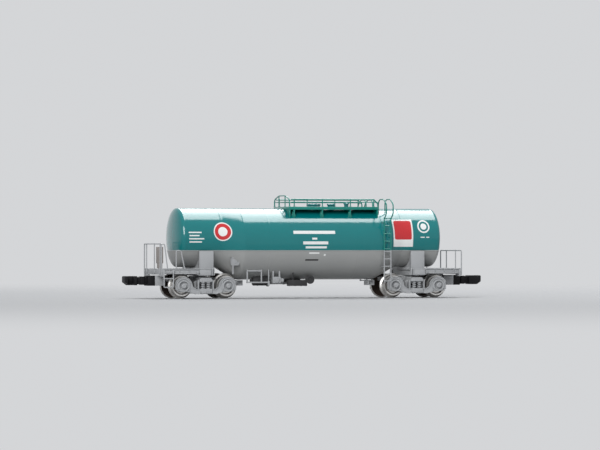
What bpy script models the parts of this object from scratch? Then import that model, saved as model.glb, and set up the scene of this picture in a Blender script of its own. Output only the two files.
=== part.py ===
"""An N gauge model of a bogie railway tank car, 1:150, standing on its wheel flanges.

Sizes are in millimetres, and the finished pieces are brought to metres.
+X runs along the car to the end with the low railing, which is called the rear.
-Y is the side with the brake gear, and +Z is up.
The origin is on the floor, midway between the bogie pivots.
"""

import math

import bmesh
import bpy
from mathutils import Matrix, Vector

METRES = 0.001

# Wheelsets for 9 mm gauge track
TREAD_RADIUS = 2.8
FLANGE_DEPTH = 0.6
BACK_TO_BACK = 7.4
WHEEL_WIDTH = 2.1
AXLE_RADIUS = 0.75
PINPOINT_DEPTH = 0.5
WHEEL_SIDES = 18
PINPOINT_SIDES = 8

# Bogies
BOGIE_CENTRES = 60.0
WHEELBASE = 12.4
SIDE_FRAME_THICKNESS = 1.1
AXLEBOX_RADIUS = 2.45
TRANSOM_LENGTH = 3.6
SPRING_RADIUS = 0.62
SPRING_PITCH = 1.5
SPINE_WIDTH = 3.4
TONGUE_LENGTH = 5.9
KINGPIN_RADIUS = 1.2
BRAKE_SHOE = 0.45

# Couplers
COUPLER_Z = 4.83
COUPLER_HEIGHT = 2.45
COUPLER_WIDTH = 3.3
COUPLER_REACH = 8.4
POCKET_WIDTH = 4.2
POCKET_WALL = 0.3
PIN_RADIUS = 0.5
TAIL_RADIUS = 1.3

# End frames, with their decks and saddles
END_OVERHANG = 6.2
DECK_OUTSET = 0.8
DECK_THICKNESS = 0.45
BOLSTER_DEPTH = 1.95
SILL_DEPTH = 1.45
SILL_WEB = 0.45
SADDLE_LENGTH = 4.0
SADDLE_PLATE = 0.55

# Tank
END_RADIUS = 7.95
BELLY_DROP = 3.4
CONE_LENGTH = 6.0
CONE_SETBACK = 4.3
HEAD_SETBACK = 6.4
HEAD_DEPTH = 1.85
TANK_WALL = 0.9
TANK_LIFT = 0.35
PAINT_HEIGHT = 4.85
TANK_SIDES = 44

# Walkway on the tank
WALKWAY_LENGTH = 25.6
WALKWAY_HALF = 6.8
WALKWAY_LIFT = 0.4
WALKWAY_PLATE = 0.3
WALKWAY_EDGE = 0.8
BRACKET_PITCH = 8.0
HANDRAIL_HEIGHT = 1.95
HATCH_RADIUS = 1.75

# Ladders and railings
LADDER_WIDTH = 1.9
LADDER_STANDOFF = 0.35
LADDER_FOOT_Z = 4.46
RUNG_PITCH = 1.95
WIRE_RADIUS = 0.17
TALL_RAILING = 6.6
LOW_RAILING = 4.8

# Clearances
SEAT_GAP = 0.05
RUNNING_GAP = 0.08
SIDE_PLAY = 0.8
BRAKE_GAP = 0.3

# Heights and places that follow from the sizes
AXLE_Z = FLANGE_DEPTH + TREAD_RADIUS
FLANGE_RADIUS = TREAD_RADIUS + FLANGE_DEPTH
BOGIE_TOP_Z = AXLE_Z + FLANGE_RADIUS - 0.75
SPINE_Z = (AXLE_Z + AXLE_RADIUS + 0.45, BOGIE_TOP_Z - 0.35)
FRAME_FACE_Y = BACK_TO_BACK / 2 + WHEEL_WIDTH + SIDE_PLAY
SIDE_FACE_Y = FRAME_FACE_Y + SIDE_FRAME_THICKNESS
BEAM_X = (BOGIE_CENTRES + WHEELBASE) / 2 + END_OVERHANG
PIVOT_X = BEAM_X - 0.1
BOLSTER_Z = BOGIE_TOP_Z + RUNNING_GAP
DECK_TOP_Z = BOLSTER_Z + BOLSTER_DEPTH
DECK_HALF = SIDE_FACE_Y + DECK_OUTSET
PAINT_LINE_Z = DECK_TOP_Z + PAINT_HEIGHT
END_AXIS_Z = DECK_TOP_Z + TANK_LIFT + END_RADIUS
BELLY_RADIUS = END_RADIUS + BELLY_DROP / 2
TANK_TOP_Z = END_AXIS_Z + END_RADIUS
BELLY_AXIS_Z = TANK_TOP_Z - BELLY_RADIUS
BELLY_BOTTOM_Z = BELLY_AXIS_Z - BELLY_RADIUS
BELLY_HALF = (BOGIE_CENTRES - WHEELBASE) / 2 - CONE_SETBACK
BARREL_HALF = BEAM_X - HEAD_SETBACK
LADDER_X = BELLY_HALF + 1.15
LADDER_Y = BELLY_RADIUS + LADDER_STANDOFF
WALKWAY_END_X = LADDER_X - LADDER_WIDTH / 2 - 0.5
WALKWAY_START_X = WALKWAY_END_X - WALKWAY_LENGTH
WALKWAY_TOP_Z = TANK_TOP_Z + WALKWAY_LIFT
HANDRAIL_TOP_Z = WALKWAY_TOP_Z + HANDRAIL_HEIGHT

GREEN = ("tank_green", (0.0, 0.16, 0.14), 0.25, 0.0)
GREY = ("tank_grey", (0.28, 0.29, 0.29), 0.4, 0.0)
FRAME_GREY = ("frame_grey", (0.42, 0.43, 0.44), 0.5, 0.0)
BLACK = ("coupler_black", (0.012, 0.012, 0.013), 0.45, 0.0)
DARK = ("underfloor_dark", (0.035, 0.035, 0.037), 0.5, 0.0)
WHEEL_METAL = ("wheel_metal", (0.6, 0.59, 0.57), 0.25, 1.0)
AXLE_METAL = ("axle_metal", (0.16, 0.15, 0.14), 0.35, 1.0)
STEEL = ("ballast_steel", (0.35, 0.35, 0.36), 0.5, 1.0)


# Scene and materials


def clear_scene():
    for obj in list(bpy.data.objects):
        bpy.data.objects.remove(obj)


def new_collection(name):
    made = bpy.data.collections.new(name)
    bpy.context.scene.collection.children.link(made)
    return made


def material(look):
    name, colour, roughness, metallic = look
    made = bpy.data.materials.get(name)
    if made is None:
        made = bpy.data.materials.new(name)
        made.use_nodes = True
        shader = made.node_tree.nodes["Principled BSDF"]
        shader.inputs["Base Color"].default_value = (*colour, 1.0)
        shader.inputs["Roughness"].default_value = roughness
        shader.inputs["Metallic"].default_value = metallic
    return made


# Shapes, in millimetres until they are finished


def shape(bm):
    bmesh.ops.recalc_face_normals(bm, faces=bm.faces)
    mesh = bpy.data.meshes.new("shape")
    bm.to_mesh(mesh)
    bm.free()
    obj = bpy.data.objects.new("shape", mesh)
    bpy.context.scene.collection.objects.link(obj)
    return obj


def block(x, y, z):
    """A box between the two values given along each axis, in either order."""
    size = [abs(b - a) for a, b in (x, y, z)]
    middle = [(a + b) / 2 for a, b in (x, y, z)]
    bm = bmesh.new()
    bmesh.ops.create_cube(bm, matrix=Matrix.Translation(middle) @ Matrix.Diagonal((*size, 1)))
    return shape(bm)


def laid(axis, middle=(0, 0, 0), sides=0):
    """The matrix that lays a shape's Z along an axis, with a flat of its polygon facing down."""
    turn = {
        "X": Matrix.Rotation(math.pi / 2, 4, "Y"),
        "Y": Matrix.Rotation(-math.pi / 2, 4, "X"),
        "Z": Matrix.Identity(4),
    }[axis]
    spin = Matrix.Rotation(math.pi / sides, 4, "Z") if sides else Matrix.Identity(4)
    return Matrix.Translation(middle) @ turn @ spin


def cylinder(axis, middle, radius, length, sides=16, far_radius=None):
    """A cylinder, or a cone whose far end has another radius."""
    bm = bmesh.new()
    bmesh.ops.create_cone(
        bm,
        cap_ends=True,
        segments=sides,
        radius1=radius,
        radius2=radius if far_radius is None else far_radius,
        depth=length,
        matrix=laid(axis, middle, sides),
    )
    return shape(bm)


def bore(axis, middle, radius, length, sides=16):
    """A cutter whose flats lie on the radius."""
    return cylinder(axis, middle, radius / math.cos(math.pi / sides), length, sides)


def arc(middle, radius, start, end, steps):
    """Points of an arc, from the start angle to the end angle in degrees."""
    angles = [math.radians(start + (end - start) * i / steps) for i in range(steps + 1)]
    return [(middle[0] + radius * math.cos(a), middle[1] + radius * math.sin(a)) for a in angles]


def taken(obj):
    """A plain mesh object of what this object shows, which takes its place."""
    bpy.context.view_layer.update()
    graph = bpy.context.evaluated_depsgraph_get()
    mesh = bpy.data.meshes.new_from_object(obj.evaluated_get(graph))
    bm = bmesh.new()
    bm.from_mesh(mesh)
    bmesh.ops.transform(bm, matrix=obj.matrix_world, verts=bm.verts)
    bmesh.ops.remove_doubles(bm, verts=bm.verts, dist=0.0001)
    bpy.data.objects.remove(obj)
    return shape(bm)


def plate(outline, axis, low, high):
    """A flat outline across an axis, from low to high on it.

    The outline's points are (Y, Z) across X, (X, Z) across Y or (X, Y) across Z.
    """
    curve = bpy.data.curves.new("outline", "CURVE")
    curve.dimensions = "2D"
    curve.fill_mode = "BOTH"
    curve.extrude = abs(high - low) / 2
    spline = curve.splines.new("POLY")
    spline.points.add(len(outline) - 1)
    for point, (u, v) in zip(spline.points, outline):
        point.co = (u, v, 0, 1)
    spline.use_cyclic_u = True
    obj = bpy.data.objects.new("outline", curve)
    bpy.context.scene.collection.objects.link(obj)
    across = {
        "X": Matrix(((0, 0, 1, 0), (1, 0, 0, 0), (0, 1, 0, 0), (0, 0, 0, 1))),
        "Y": Matrix(((1, 0, 0, 0), (0, 0, 1, 0), (0, 1, 0, 0), (0, 0, 0, 1))),
        "Z": Matrix.Identity(4),
    }[axis]
    along = {"X": Vector((1, 0, 0)), "Y": Vector((0, 1, 0)), "Z": Vector((0, 0, 1))}[axis]
    obj.matrix_world = Matrix.Translation(along * (high + low) / 2) @ across
    return taken(obj)


def wire(points, radius=WIRE_RADIUS, resolution=1):
    """A round wire, or a square one at resolution 0, straight between its points."""
    curve = bpy.data.curves.new("wire", "CURVE")
    curve.dimensions = "3D"
    curve.bevel_depth = radius
    curve.bevel_resolution = resolution
    curve.use_fill_caps = True
    spline = curve.splines.new("POLY")
    spline.points.add(len(points) - 1)
    for point, place in zip(spline.points, points):
        point.co = (*place, 1)
    obj = bpy.data.objects.new("wire", curve)
    bpy.context.scene.collection.objects.link(obj)
    return taken(obj)


def turned(profile, axis, middle, sides, closed=False):
    """A profile of (radius, distance along the axis) turned about it. A closed one makes a ring."""
    bm = bmesh.new()
    verts = [bm.verts.new((radius / math.cos(math.pi / sides), 0, d)) for radius, d in profile]
    ends = verts[1:] + verts[:1] if closed else verts[1:]
    for first, second in zip(verts, ends):
        bm.edges.new((first, second))
    obj = shape(bm)
    screw = obj.modifiers.new("turn", "SCREW")
    screw.axis = "Z"
    screw.steps = screw.render_steps = sides
    screw.use_merge_vertices = True
    screw.merge_threshold = 0.0001
    obj.matrix_world = laid(axis, middle, sides)
    return taken(obj)


def loft(sections, sides):
    """A closed skin over circles across X, given as (x, radius, height of the centre)."""
    bm = bmesh.new()
    rings = []
    for x, radius, height in sections:
        ring = bmesh.ops.create_circle(
            bm, cap_ends=False, segments=sides, radius=radius, matrix=laid("X", (x, 0, height))
        )
        rings.append(set(ring["verts"]))
    for first, second in zip(rings, rings[1:]):
        both = first | second
        edges = {e for v in both for e in v.link_edges if len(e.link_faces) < 2}
        bmesh.ops.bridge_loops(bm, edges=[e for e in edges if set(e.verts) <= both])
    bmesh.ops.holes_fill(bm, edges=bm.edges, sides=sides)
    return shape(bm)


def combine(operation, base, others):
    """The base with all the others joined to it, cut from it, or kept in common with it."""
    group = bpy.data.collections.new("operands")
    for other in others:
        group.objects.link(other)
    modifier = base.modifiers.new("combine", "BOOLEAN")
    modifier.operation = operation
    modifier.operand_type = "COLLECTION"
    modifier.collection = group
    modifier.solver = "EXACT"
    result = taken(base)
    for other in others:
        bpy.data.objects.remove(other)
    bpy.data.collections.remove(group)
    return result


def joined(*pieces):
    return combine("UNION", pieces[0], pieces[1:]) if len(pieces) > 1 else pieces[0]


def cut(base, *cutters):
    return combine("DIFFERENCE", base, cutters)


def moved(obj, x=0.0, y=0.0, z=0.0):
    obj.data.transform(Matrix.Translation((x, y, z)))
    return obj


def facing(obj, end):
    """A shape drawn for the rear end (1), turned half round for the front end (-1)."""
    if end < 0:
        obj.data.transform(Matrix.Rotation(math.pi, 4, "Z"))
    return obj


def anchor(name, place, parent=None):
    """An empty on a joint's axis."""
    made = bpy.data.objects.new(name, None)
    PARTS.objects.link(made)
    made.location = Vector(place) * METRES
    made["place"] = place
    if parent is not None:
        made.parent = parent
        made.location -= Vector(parent["place"]) * METRES
    return made


def finish(obj, name, look, parent=None):
    """Names a shape, brings it to metres, and puts its origin on its parent's."""
    place = Vector(parent["place"]) if parent is not None else Vector()
    obj.data.transform(Matrix.Scale(METRES, 4) @ Matrix.Translation(-place))
    obj.parent = parent
    obj.name = obj.data.name = name
    obj.data.materials.append(material(look))
    obj.data.shade_smooth()
    obj.data.set_sharp_from_angle(angle=math.radians(35))
    bpy.context.scene.collection.objects.unlink(obj)
    PARTS.objects.link(obj)
    return obj


# Tank: two half shells that meet at the paint line, over a steel weight


def tank_sections(inset, angles):
    """Sections of the tank, level along its top, with its surface moved in by the inset."""
    half = [
        (
            BARREL_HALF + (HEAD_DEPTH - inset) * math.sin(math.radians(angle)),
            (END_RADIUS - inset) * math.cos(math.radians(angle)),
            END_AXIS_Z,
        )
        for angle in angles
    ]
    half.append((BARREL_HALF, END_RADIUS - inset, END_AXIS_Z))
    half.append((BELLY_HALF + CONE_LENGTH, END_RADIUS - inset, END_AXIS_Z))
    half.append((BELLY_HALF, BELLY_RADIUS - inset, BELLY_AXIS_Z))
    return [(-x, radius, z) for x, radius, z in half] + half[::-1]


def tank_cutter(gap=SEAT_GAP):
    """The tank's outside, grown by a gap, which seats other pieces on it."""
    return loft(tank_sections(-gap, (80, 60, 40, 20)), TANK_SIDES)


def tank_shell(low, high):
    """The part of the hollow tank between two heights."""
    reach = BEAM_X
    half = combine(
        "INTERSECT",
        loft(tank_sections(0, (80, 62, 42, 20)), TANK_SIDES),
        [block((-reach, reach), (-reach, reach), (low, high))],
    )
    return cut(half, loft(tank_sections(TANK_WALL, (60,)), TANK_SIDES // 2))


def build_tank():
    finish(tank_shell(PAINT_LINE_Z + SEAT_GAP / 2, TANK_TOP_Z + 1), "tank_upper_shell", GREEN)
    finish(tank_shell(0, PAINT_LINE_Z - SEAT_GAP / 2), "tank_lower_shell", GREY)
    half, width, height = BELLY_HALF - 1, BELLY_RADIUS - 0.6, 5.0
    inside = (BELLY_RADIUS - TANK_WALL) * math.cos(math.pi / (TANK_SIDES // 2)) - SEAT_GAP
    bottom = BELLY_AXIS_Z - math.sqrt(inside**2 - (width / 2) ** 2)
    bar = block((-half, half), (-width / 2, width / 2), (bottom, bottom + height))
    finish(bar, "ballast_weight", STEEL)


def build_hatches():
    """The manhole and two valves on the tank, in the walkway's opening."""
    # name, distance from the walkway's start, radius, height of the neck, lid's overhang and depth
    fittings = (
        ("manhole", 9.2, HATCH_RADIUS, 0.8, 0.2, 0.35),
        ("loading_valve", 14.2, 0.95, 0.9, 0.2, 0.3),
        ("safety_valve", 18.6, 0.6, 1.2, 0.2, 0.25),
    )
    for name, distance, radius, neck, overhang, lid in fittings:
        lip, crown = radius + overhang, neck + lid
        profile = (
            (0, -2),
            (radius, -2),
            (radius, neck),
            (lip, neck),
            (lip, crown - 0.08),
            (lip - 0.1, crown),
            (lip * 0.45, crown + 0.12),
            (0, crown + 0.12),
        )
        body = turned(profile, "Z", (WALKWAY_START_X + distance, 0, TANK_TOP_Z), 16)
        finish(cut(body, tank_cutter()), name, GREEN)


# Walkway, handrails and ladders


def bracket_places():
    """Places along the walkway of its brackets, with a handrail post over each."""
    places = []
    x = WALKWAY_START_X + 1.55
    while x < WALKWAY_END_X - 1.5:
        places.append(x)
        x += BRACKET_PITCH
    return places


def build_walkway():
    """A decked frame round the hatches, on gussets shaped to the tank."""
    half, start, end = WALKWAY_HALF, WALKWAY_START_X, WALKWAY_END_X
    low, deck = WALKWAY_TOP_Z - WALKWAY_EDGE, WALKWAY_TOP_Z - WALKWAY_PLATE
    frame = block((start, end), (-half, half), (low, WALKWAY_TOP_Z))
    under = block((start + 0.35, end - 0.35), (-half + 0.35, half - 0.35), (low - 1, deck))
    well = HATCH_RADIUS + 0.65
    opening = block(
        (start + 9.2 - well, start + 18.6 + 1.6), (-well, well), (low - 1, WALKWAY_TOP_Z + 1)
    )
    frame = cut(frame, under, opening)
    gussets = []
    for x in bracket_places() + [start + 0.3, end - 0.3]:
        for side in (-1, 1):
            y = (side * (well + 0.1), side * (half - 0.12))
            gussets.append(block((x - 0.2, x + 0.2), y, (BELLY_AXIS_Z, deck + 0.1)))
    for x in bracket_places():
        for side in (-1, 1):
            # A foot along the tank under each gusset's outer edge
            y = (side * (half - 1.4), side * (half - 0.4))
            top = BELLY_AXIS_Z + math.sqrt(BELLY_RADIUS**2 - (half - 1.4) ** 2) + 0.12
            gussets.append(block((x - 0.55, x + 0.55), y, (BELLY_AXIS_Z, top)))
    finish(cut(joined(frame, *gussets), tank_cutter()), "walkway", GREEN)


def build_handrails():
    """A handrail along each side of the walkway, and a raised one across its front end."""
    y, foot, top = WALKWAY_HALF - 0.2, WALKWAY_TOP_Z + SEAT_GAP, HANDRAIL_TOP_Z
    middle = foot + (top - foot) * 0.62
    start, end = WALKWAY_START_X + 0.2, WALKWAY_END_X - 0.2
    first = start + 2 * WIRE_RADIUS + SEAT_GAP
    for side, name in ((-1, "near"), (1, "far")):
        line = side * y
        rail = [(first, line, top), (end - 1.15, line, top), (end, line, top - 1.1), (end, line, foot)]
        wires = [wire(rail), wire([(first, line, middle), (end, line, middle)], WIRE_RADIUS * 0.8, 0)]
        for x in bracket_places() + [end - 1.15]:
            wires.append(wire([(x, line, foot), (x, line, top)], WIRE_RADIUS, 0))
        finish(joined(*wires), f"handrail_{name}", GREEN)
    arch, rise = WALKWAY_HALF - 4.1, 1.05
    across = [(-y, foot), (-y, top), (-arch, top + rise), (arch, top + rise), (y, top), (y, foot)]
    wires = [wire([(start, a, b) for a, b in across])]
    wires.append(wire([(start, -y, middle), (start, y, middle)], WIRE_RADIUS * 0.8))
    for side in (-arch, arch):
        wires.append(wire([(start, side, foot), (start, side, top + rise)]))
    finish(joined(*wires), "handrail_end", GREEN)


def build_ladder(side, name):
    """A grey lower ladder and a green upper one, whose stiles loop over as handholds."""
    y, join = side * LADDER_Y, PAINT_LINE_Z
    stiles = (LADDER_X - LADDER_WIDTH / 2, LADDER_X + LADDER_WIDTH / 2)
    crest, hold = HANDRAIL_TOP_Z + 0.05, TANK_TOP_Z - 2.7
    landing = side * (WALKWAY_HALF - 1.7)
    loop = (
        (y, join + SEAT_GAP),
        (y, hold),
        (y + side * 1.8, hold + 1.2),
        (y + side * 1.8, crest - 1.3),
        (y - side * 0.6, crest),
        (landing + side * 1.1, crest),
        (landing, crest - 0.9),
        (landing, BELLY_AXIS_Z),
    )
    lower = [wire([(x, y, LADDER_FOOT_Z), (x, y, join)]) for x in stiles]
    upper = [wire([(x, a, b) for a, b in loop]) for x in stiles]
    foot, margin = LADDER_FOOT_Z + WIRE_RADIUS, 0.35
    for pieces, low, high in ((lower, foot, join - margin), (upper, join + margin, hold)):
        count = max(round((high - low) / RUNG_PITCH), 1)
        for i in range(count + 1):
            z = low + (high - low) * i / count
            pieces.append(wire([(x, y, z) for x in stiles], WIRE_RADIUS * 0.85, 0))
    arms = ((lower, DECK_TOP_Z + 0.45), (lower, join - 1.3), (upper, join + 3.6), (upper, hold - 1.0))
    for pieces, z in arms:
        for x in stiles:
            reach = (y, side * BELLY_RADIUS * 0.4)
            pieces.append(block((x - 0.12, x + 0.12), reach, (z - 0.13, z + 0.15)))
    finish(cut(joined(*lower), tank_cutter()), f"ladder_lower_{name}", FRAME_GREY)
    finish(cut(joined(*upper), tank_cutter()), f"ladder_upper_{name}", GREEN)


# End frames: deck, sills, end beam, bolster and saddle in one moulding


def build_end_frame(end, name):
    half, centre = DECK_HALF, BOGIE_CENTRES / 2
    inner, outer = centre - SADDLE_LENGTH / 2 - 0.15, centre + SADDLE_LENGTH / 2
    sill, under_deck = DECK_TOP_Z - SILL_DEPTH, DECK_TOP_Z - DECK_THICKNESS
    pieces = [
        block((inner, BEAM_X), (-half, half), (under_deck, DECK_TOP_Z)),
        block((BEAM_X - 0.55, BEAM_X), (-half, half), (BOLSTER_Z - 0.2, DECK_TOP_Z - 0.1)),
        block((centre - 1.7, centre + 1.7), (-half + 0.2, half - 0.2), (BOLSTER_Z, under_deck + 0.1)),
    ]
    outline = [
        (inner, DECK_TOP_Z - 0.05),
        (inner, BOLSTER_Z + 0.05),
        (outer, BOLSTER_Z + 0.05),
        (outer + 1.0, sill),
        (BEAM_X - 0.1, sill),
        (BEAM_X - 0.1, DECK_TOP_Z - 0.05),
    ]
    for side in (-1, 1):
        web = (side * half, side * (half - SILL_WEB))
        low, high = sorted(web)
        pieces.append(plate(outline, "Y", low, high))
        flange = (side * (half - 0.05), side * (half - 0.95))
        pieces.append(block((outer + 0.9, BEAM_X - 0.1), flange, (sill, sill + 0.25)))
        # A plate over the bolster's end with a jacking boss, and two ribs behind it
        cover = (side * (half - 0.1), side * (half + 0.12))
        pieces.append(block((inner + 0.9, outer), cover, (BOLSTER_Z + 0.15, DECK_TOP_Z - 0.3)))
        boss = (outer + 0.45, side * (half + 0.05), sill + 0.45)
        pieces.append(cylinder("Y", boss, 0.35, 0.3, 12))
        for x in (inner + 0.15, inner + 0.65):
            rib = (side * (half - 0.1), side * (half + 0.3))
            pieces.append(block((x - 0.13, x + 0.13), rib, (BOLSTER_Z + 0.15, DECK_TOP_Z + 0.1)))
    # Stringers under the deck, clear of the coupler and the wheels
    for side in (-1, 1):
        y = (side * 2.6, side * 3.1)
        pieces.append(block((centre + 1.5, BEAM_X - 0.4), y, (under_deck - 0.6, under_deck + 0.1)))
    moulding = joined(*pieces, *saddle_pieces(inner + 0.15, outer))
    notch = block((BEAM_X - 2, BEAM_X + 1), (-5.5, 5.5), (0, COUPLER_Z + COUPLER_HEIGHT / 2 + 0.4))
    hole = bore("Z", (centre, 0, BOLSTER_Z - 0.5), KINGPIN_RADIUS + SEAT_GAP, 4.1, 12)
    moulding = cut(moulding, tank_cutter(), notch, hole)
    finish(facing(moulding, end), f"end_frame_{name}", FRAME_GREY)


def saddle_pieces(x0, x1):
    """Side plates, edge flanges and two curved webs, before the tank's shape is cut from them."""
    half = DECK_HALF - 0.6
    foot, top = DECK_TOP_Z - 0.1, PAINT_LINE_Z - 0.15
    base = DECK_TOP_Z + TANK_LIFT - 2 * SEAT_GAP
    pieces = [block((x0, x1), (-half + 0.1, half - 0.1), (foot, base))]
    for x in (x0 + 0.7, x1 - 0.7):
        pieces.append(block((x - 0.25, x + 0.25), (-half + 0.2, half - 0.2), (foot, top - 0.2)))
    for side in (-1, 1):
        sheet = (side * half, side * (half - SADDLE_PLATE))
        pieces.append(block((x0, x1), sheet, (foot, top)))
        for x in (x0, x1):
            flange = (side * (half + 0.05), side * (half - SADDLE_PLATE - 0.25))
            pieces.append(block((x - 0.02, x + 0.26 if x == x0 else x - 0.26), flange, (foot, top)))
    return pieces


def build_platform_railing(end, name, height, posts, with_brace):
    """The railing along an end beam, with its corner posts down the beam's face."""
    x = BEAM_X + WIRE_RADIUS + SEAT_GAP
    corner, top = DECK_HALF - 0.25, DECK_TOP_Z + height
    wires = [wire([(x, -corner, top), (x, corner, top)])]
    for y in posts:
        wires.append(wire([(x, y, DECK_TOP_Z - 1.2), (x, y, top)]))
    for side in (-1, 1):
        wires.append(wire([(x, side * corner, BOLSTER_Z), (x, side * corner, top)]))
    if with_brace:
        y, foot = corner, DECK_TOP_Z + SEAT_GAP + WIRE_RADIUS * 0.5
        wires.append(wire([(x, y, top), (x - 0.9, y, top), (x - 1.7, y, foot)]))
    finish(facing(joined(*wires), end), f"platform_rail_{name}", FRAME_GREY)


def build_steps(end, name):
    """Stirrup steps below a corner, and the handrail over them on the deck."""
    y = DECK_HALF + WIRE_RADIUS + SEAT_GAP
    x0, x1 = BEAM_X - 3.0, BEAM_X - 0.4
    foot, hang = DECK_TOP_Z - 5.0, DECK_TOP_Z - 0.4
    wires = [wire([(x0, y, hang), (x0, y, foot), (x1, y, foot), (x1, y, hang)])]
    wires += [wire([(x0, y, z), (x1, y, z)], WIRE_RADIUS * 0.9, 0) for z in (foot + 2.3, hang - 0.6)]
    for x in (x0, x1):
        ear = (y + WIRE_RADIUS, DECK_HALF + SEAT_GAP)
        wires.append(block((x - 0.22, x + 0.22), ear, (hang - 1.0, hang + 0.1)))
    finish(facing(joined(*wires), end), f"steps_{name}", FRAME_GREY)
    foot, top = DECK_TOP_Z + SEAT_GAP, DECK_TOP_Z + LOW_RAILING
    y = DECK_HALF - 0.25
    slant = foot + WIRE_RADIUS * 0.3
    grab = [(BEAM_X - 3.9, foot), (BEAM_X - 3.9, top), (BEAM_X - 5.2, top), (BEAM_X - 6.2, slant)]
    grab = wire([(x, y, z) for x, z in grab])
    finish(facing(grab, end), f"side_grab_{name}", FRAME_GREY)


def build_handbrake(posts):
    """The handbrake's case on the front deck, between two of the railing's posts."""
    near, far = sorted(-y for y in posts)
    x = -BEAM_X + 0.15
    case = block((x, x + 0.6), (near + 0.25, far - 0.25), (DECK_TOP_Z + 1.4, DECK_TOP_Z + 5.8))
    leg = block((x, x + 0.45), (near + 1.9, near + 2.9), (DECK_TOP_Z + SEAT_GAP, DECK_TOP_Z + 1.5))
    back = block((x + 0.5, x + 0.8), (near + 1.0, far - 1.0), (DECK_TOP_Z + 2.2, DECK_TOP_Z + 5.0))
    finish(joined(case, leg, back), "handbrake_case", FRAME_GREY)


# Brake gear and valves under the tank, whose hangers are cut to the belly


def under_tank(name, look, *pieces):
    finish(cut(joined(*pieces), tank_cutter()), name, look)


def build_brake_gear():
    into = BELLY_AXIS_Z
    # Selector plate over the front bogie: a tray on a bracket, with its shaft below
    x, z0, z1 = -BELLY_HALF - 2.4, DECK_TOP_Z + 0.8, DECK_TOP_Z + 3.0
    y = -tank_half_width(x - 1.2, z1) - 0.4
    panel = block((x - 1.2, x + 1.2), (y, y + 0.5), (z0, z1))
    recess = block((x - 0.85, x + 0.85), (y - 1, y + 0.25), (z0 + 0.35, z1 - 0.35))
    dial = cylinder("Y", (x, y + 0.3, (z0 + z1) / 2), 0.5, 0.5, 12)
    bracket = block((x - 0.5, x + 0.5), (y + 0.4, 0), (z0 + 0.5, z0 + 1.3))
    shaft = wire([(x - 0.5, y + 0.25, z0 + 0.2), (x - 0.5, y + 0.25, BOGIE_TOP_Z + 0.5)], 0.24)
    under_tank("selector_panel", FRAME_GREY, cut(panel, recess), dial, bracket, shaft)
    # Open guard frame, with its lower bar carried on past it
    x, y = -BELLY_HALF + 1.35, -BELLY_RADIUS * 0.68
    guard = block((x - 0.2, x + 4.2), (y - 0.2, y + 0.2), (BELLY_BOTTOM_Z - 0.9, into))
    window = block((x + 0.2, x + 3.8), (y - 1, y + 1), (BELLY_BOTTOM_Z - 0.5, BELLY_BOTTOM_Z + 2.2))
    above = block((x + 0.2, x + 3.8), (y - 1, y + 1), (BELLY_BOTTOM_Z + 2.6, into + 1))
    bar = block((x + 4.1, x + 6.2), (y - 0.2, y + 0.2), (BELLY_BOTTOM_Z - 0.9, BELLY_BOTTOM_Z - 0.5))
    foot = block((x + 5.8, x + 6.3), (y - 0.3, y + 0.3), (BELLY_BOTTOM_Z - 1.6, BELLY_BOTTOM_Z - 0.4))
    stay = block((x + 5.9, x + 6.2), (y - 0.2, y + 0.2), (BELLY_BOTTOM_Z - 0.6, into))
    under_tank("guard_frame", FRAME_GREY, cut(guard, window, above), bar, foot, stay)
    # Brake cylinder, with its cover, bracket and push rod
    x, y, z = -BELLY_HALF + 6.0, -BELLY_RADIUS * 0.36, BELLY_BOTTOM_Z - 0.3
    shell = (
        (0, -2.9),
        (0.45, -2.9),
        (0.45, -2.3),
        (1.3, -2.1),
        (1.3, 1.9),
        (1.55, 1.9),
        (1.55, 2.3),
        (0.9, 2.6),
        (0, 2.6),
    )
    barrel = turned(shell, "X", (x, y, z), 16)
    hanger = block((x - 1.6, x + 1.4), (y - 0.9, y + 0.9), (z, into))
    under_tank("brake_cylinder", DARK, barrel, hanger)
    # Control valve: a body with round covers, and a forked bracket over it
    x, y, z = -BELLY_HALF + 9.7, -BELLY_RADIUS * 0.62, BELLY_BOTTOM_Z
    body = block((x - 1.1, x + 1.1), (y - 0.9, y + 0.9), (z - 1.0, z + 0.8))
    cover = cylinder("Y", (x - 0.1, y - 1.0, z - 0.1), 0.75, 0.6, 14)
    drum = cylinder("X", (x + 1.4, y + 0.1, z - 0.2), 0.65, 1.4, 14)
    fork = [block((x + s - 0.2, x + s + 0.2), (y - 0.6, y + 0.6), (z, into)) for s in (-0.9, 0.9)]
    under_tank("control_valve", FRAME_GREY, body, cover, drum, *fork)
    # Discharge valve at the belly's lowest line, with its outlet to the near side
    y, z = -BELLY_RADIUS * 0.57, BELLY_BOTTOM_Z
    sump = cylinder("Z", (-3.3, 0, z - 0.1), 2.3, 1.4, 14)
    pipe = block((-4.6, -2.0), (y, 0), (z - 1.5, z - 0.2))
    box = block((-6.3, -1.0), (y - 0.6, y + 1.1), (z - 1.7, z - 0.1))
    rod = wire([(-4.9, y - 0.1, z - 0.5), (-4.9, y - 0.1, into)], 0.26)
    neck = (
        (0, -1.6),
        (0.75, -1.6),
        (0.75, 0.2),
        (1.15, 0.2),
        (1.15, 0.6),
        (0.55, 0.6),
        (0.45, 0.35),
        (0, 0.35),
    )
    neck = turned([(r, -d) for r, d in neck], "Y", (-0.2, y - 0.3, z + 0.0), 16)
    link = block((-1.2, -0.2), (y - 0.2, y + 0.6), (z - 0.8, z + 0.3))
    under_tank("discharge_valve", DARK, sump, pipe, box, rod, neck, link)
    # Air reservoirs on the far side
    x, y, z = -7.0, BELLY_RADIUS * 0.5, BELLY_BOTTOM_Z
    shell = ((0, -4.6), (0.8, -4.5), (1.35, -4.0), (1.35, 4.0), (0.8, 4.5), (0, 4.6))
    tank = turned(shell, "X", (x, y, z), 16)
    straps = [block((x + s - 0.3, x + s + 0.3), (y - 0.7, y + 0.7), (z, into)) for s in (-2.8, 2.8)]
    under_tank("air_reservoir", FRAME_GREY, tank, *straps)


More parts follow.
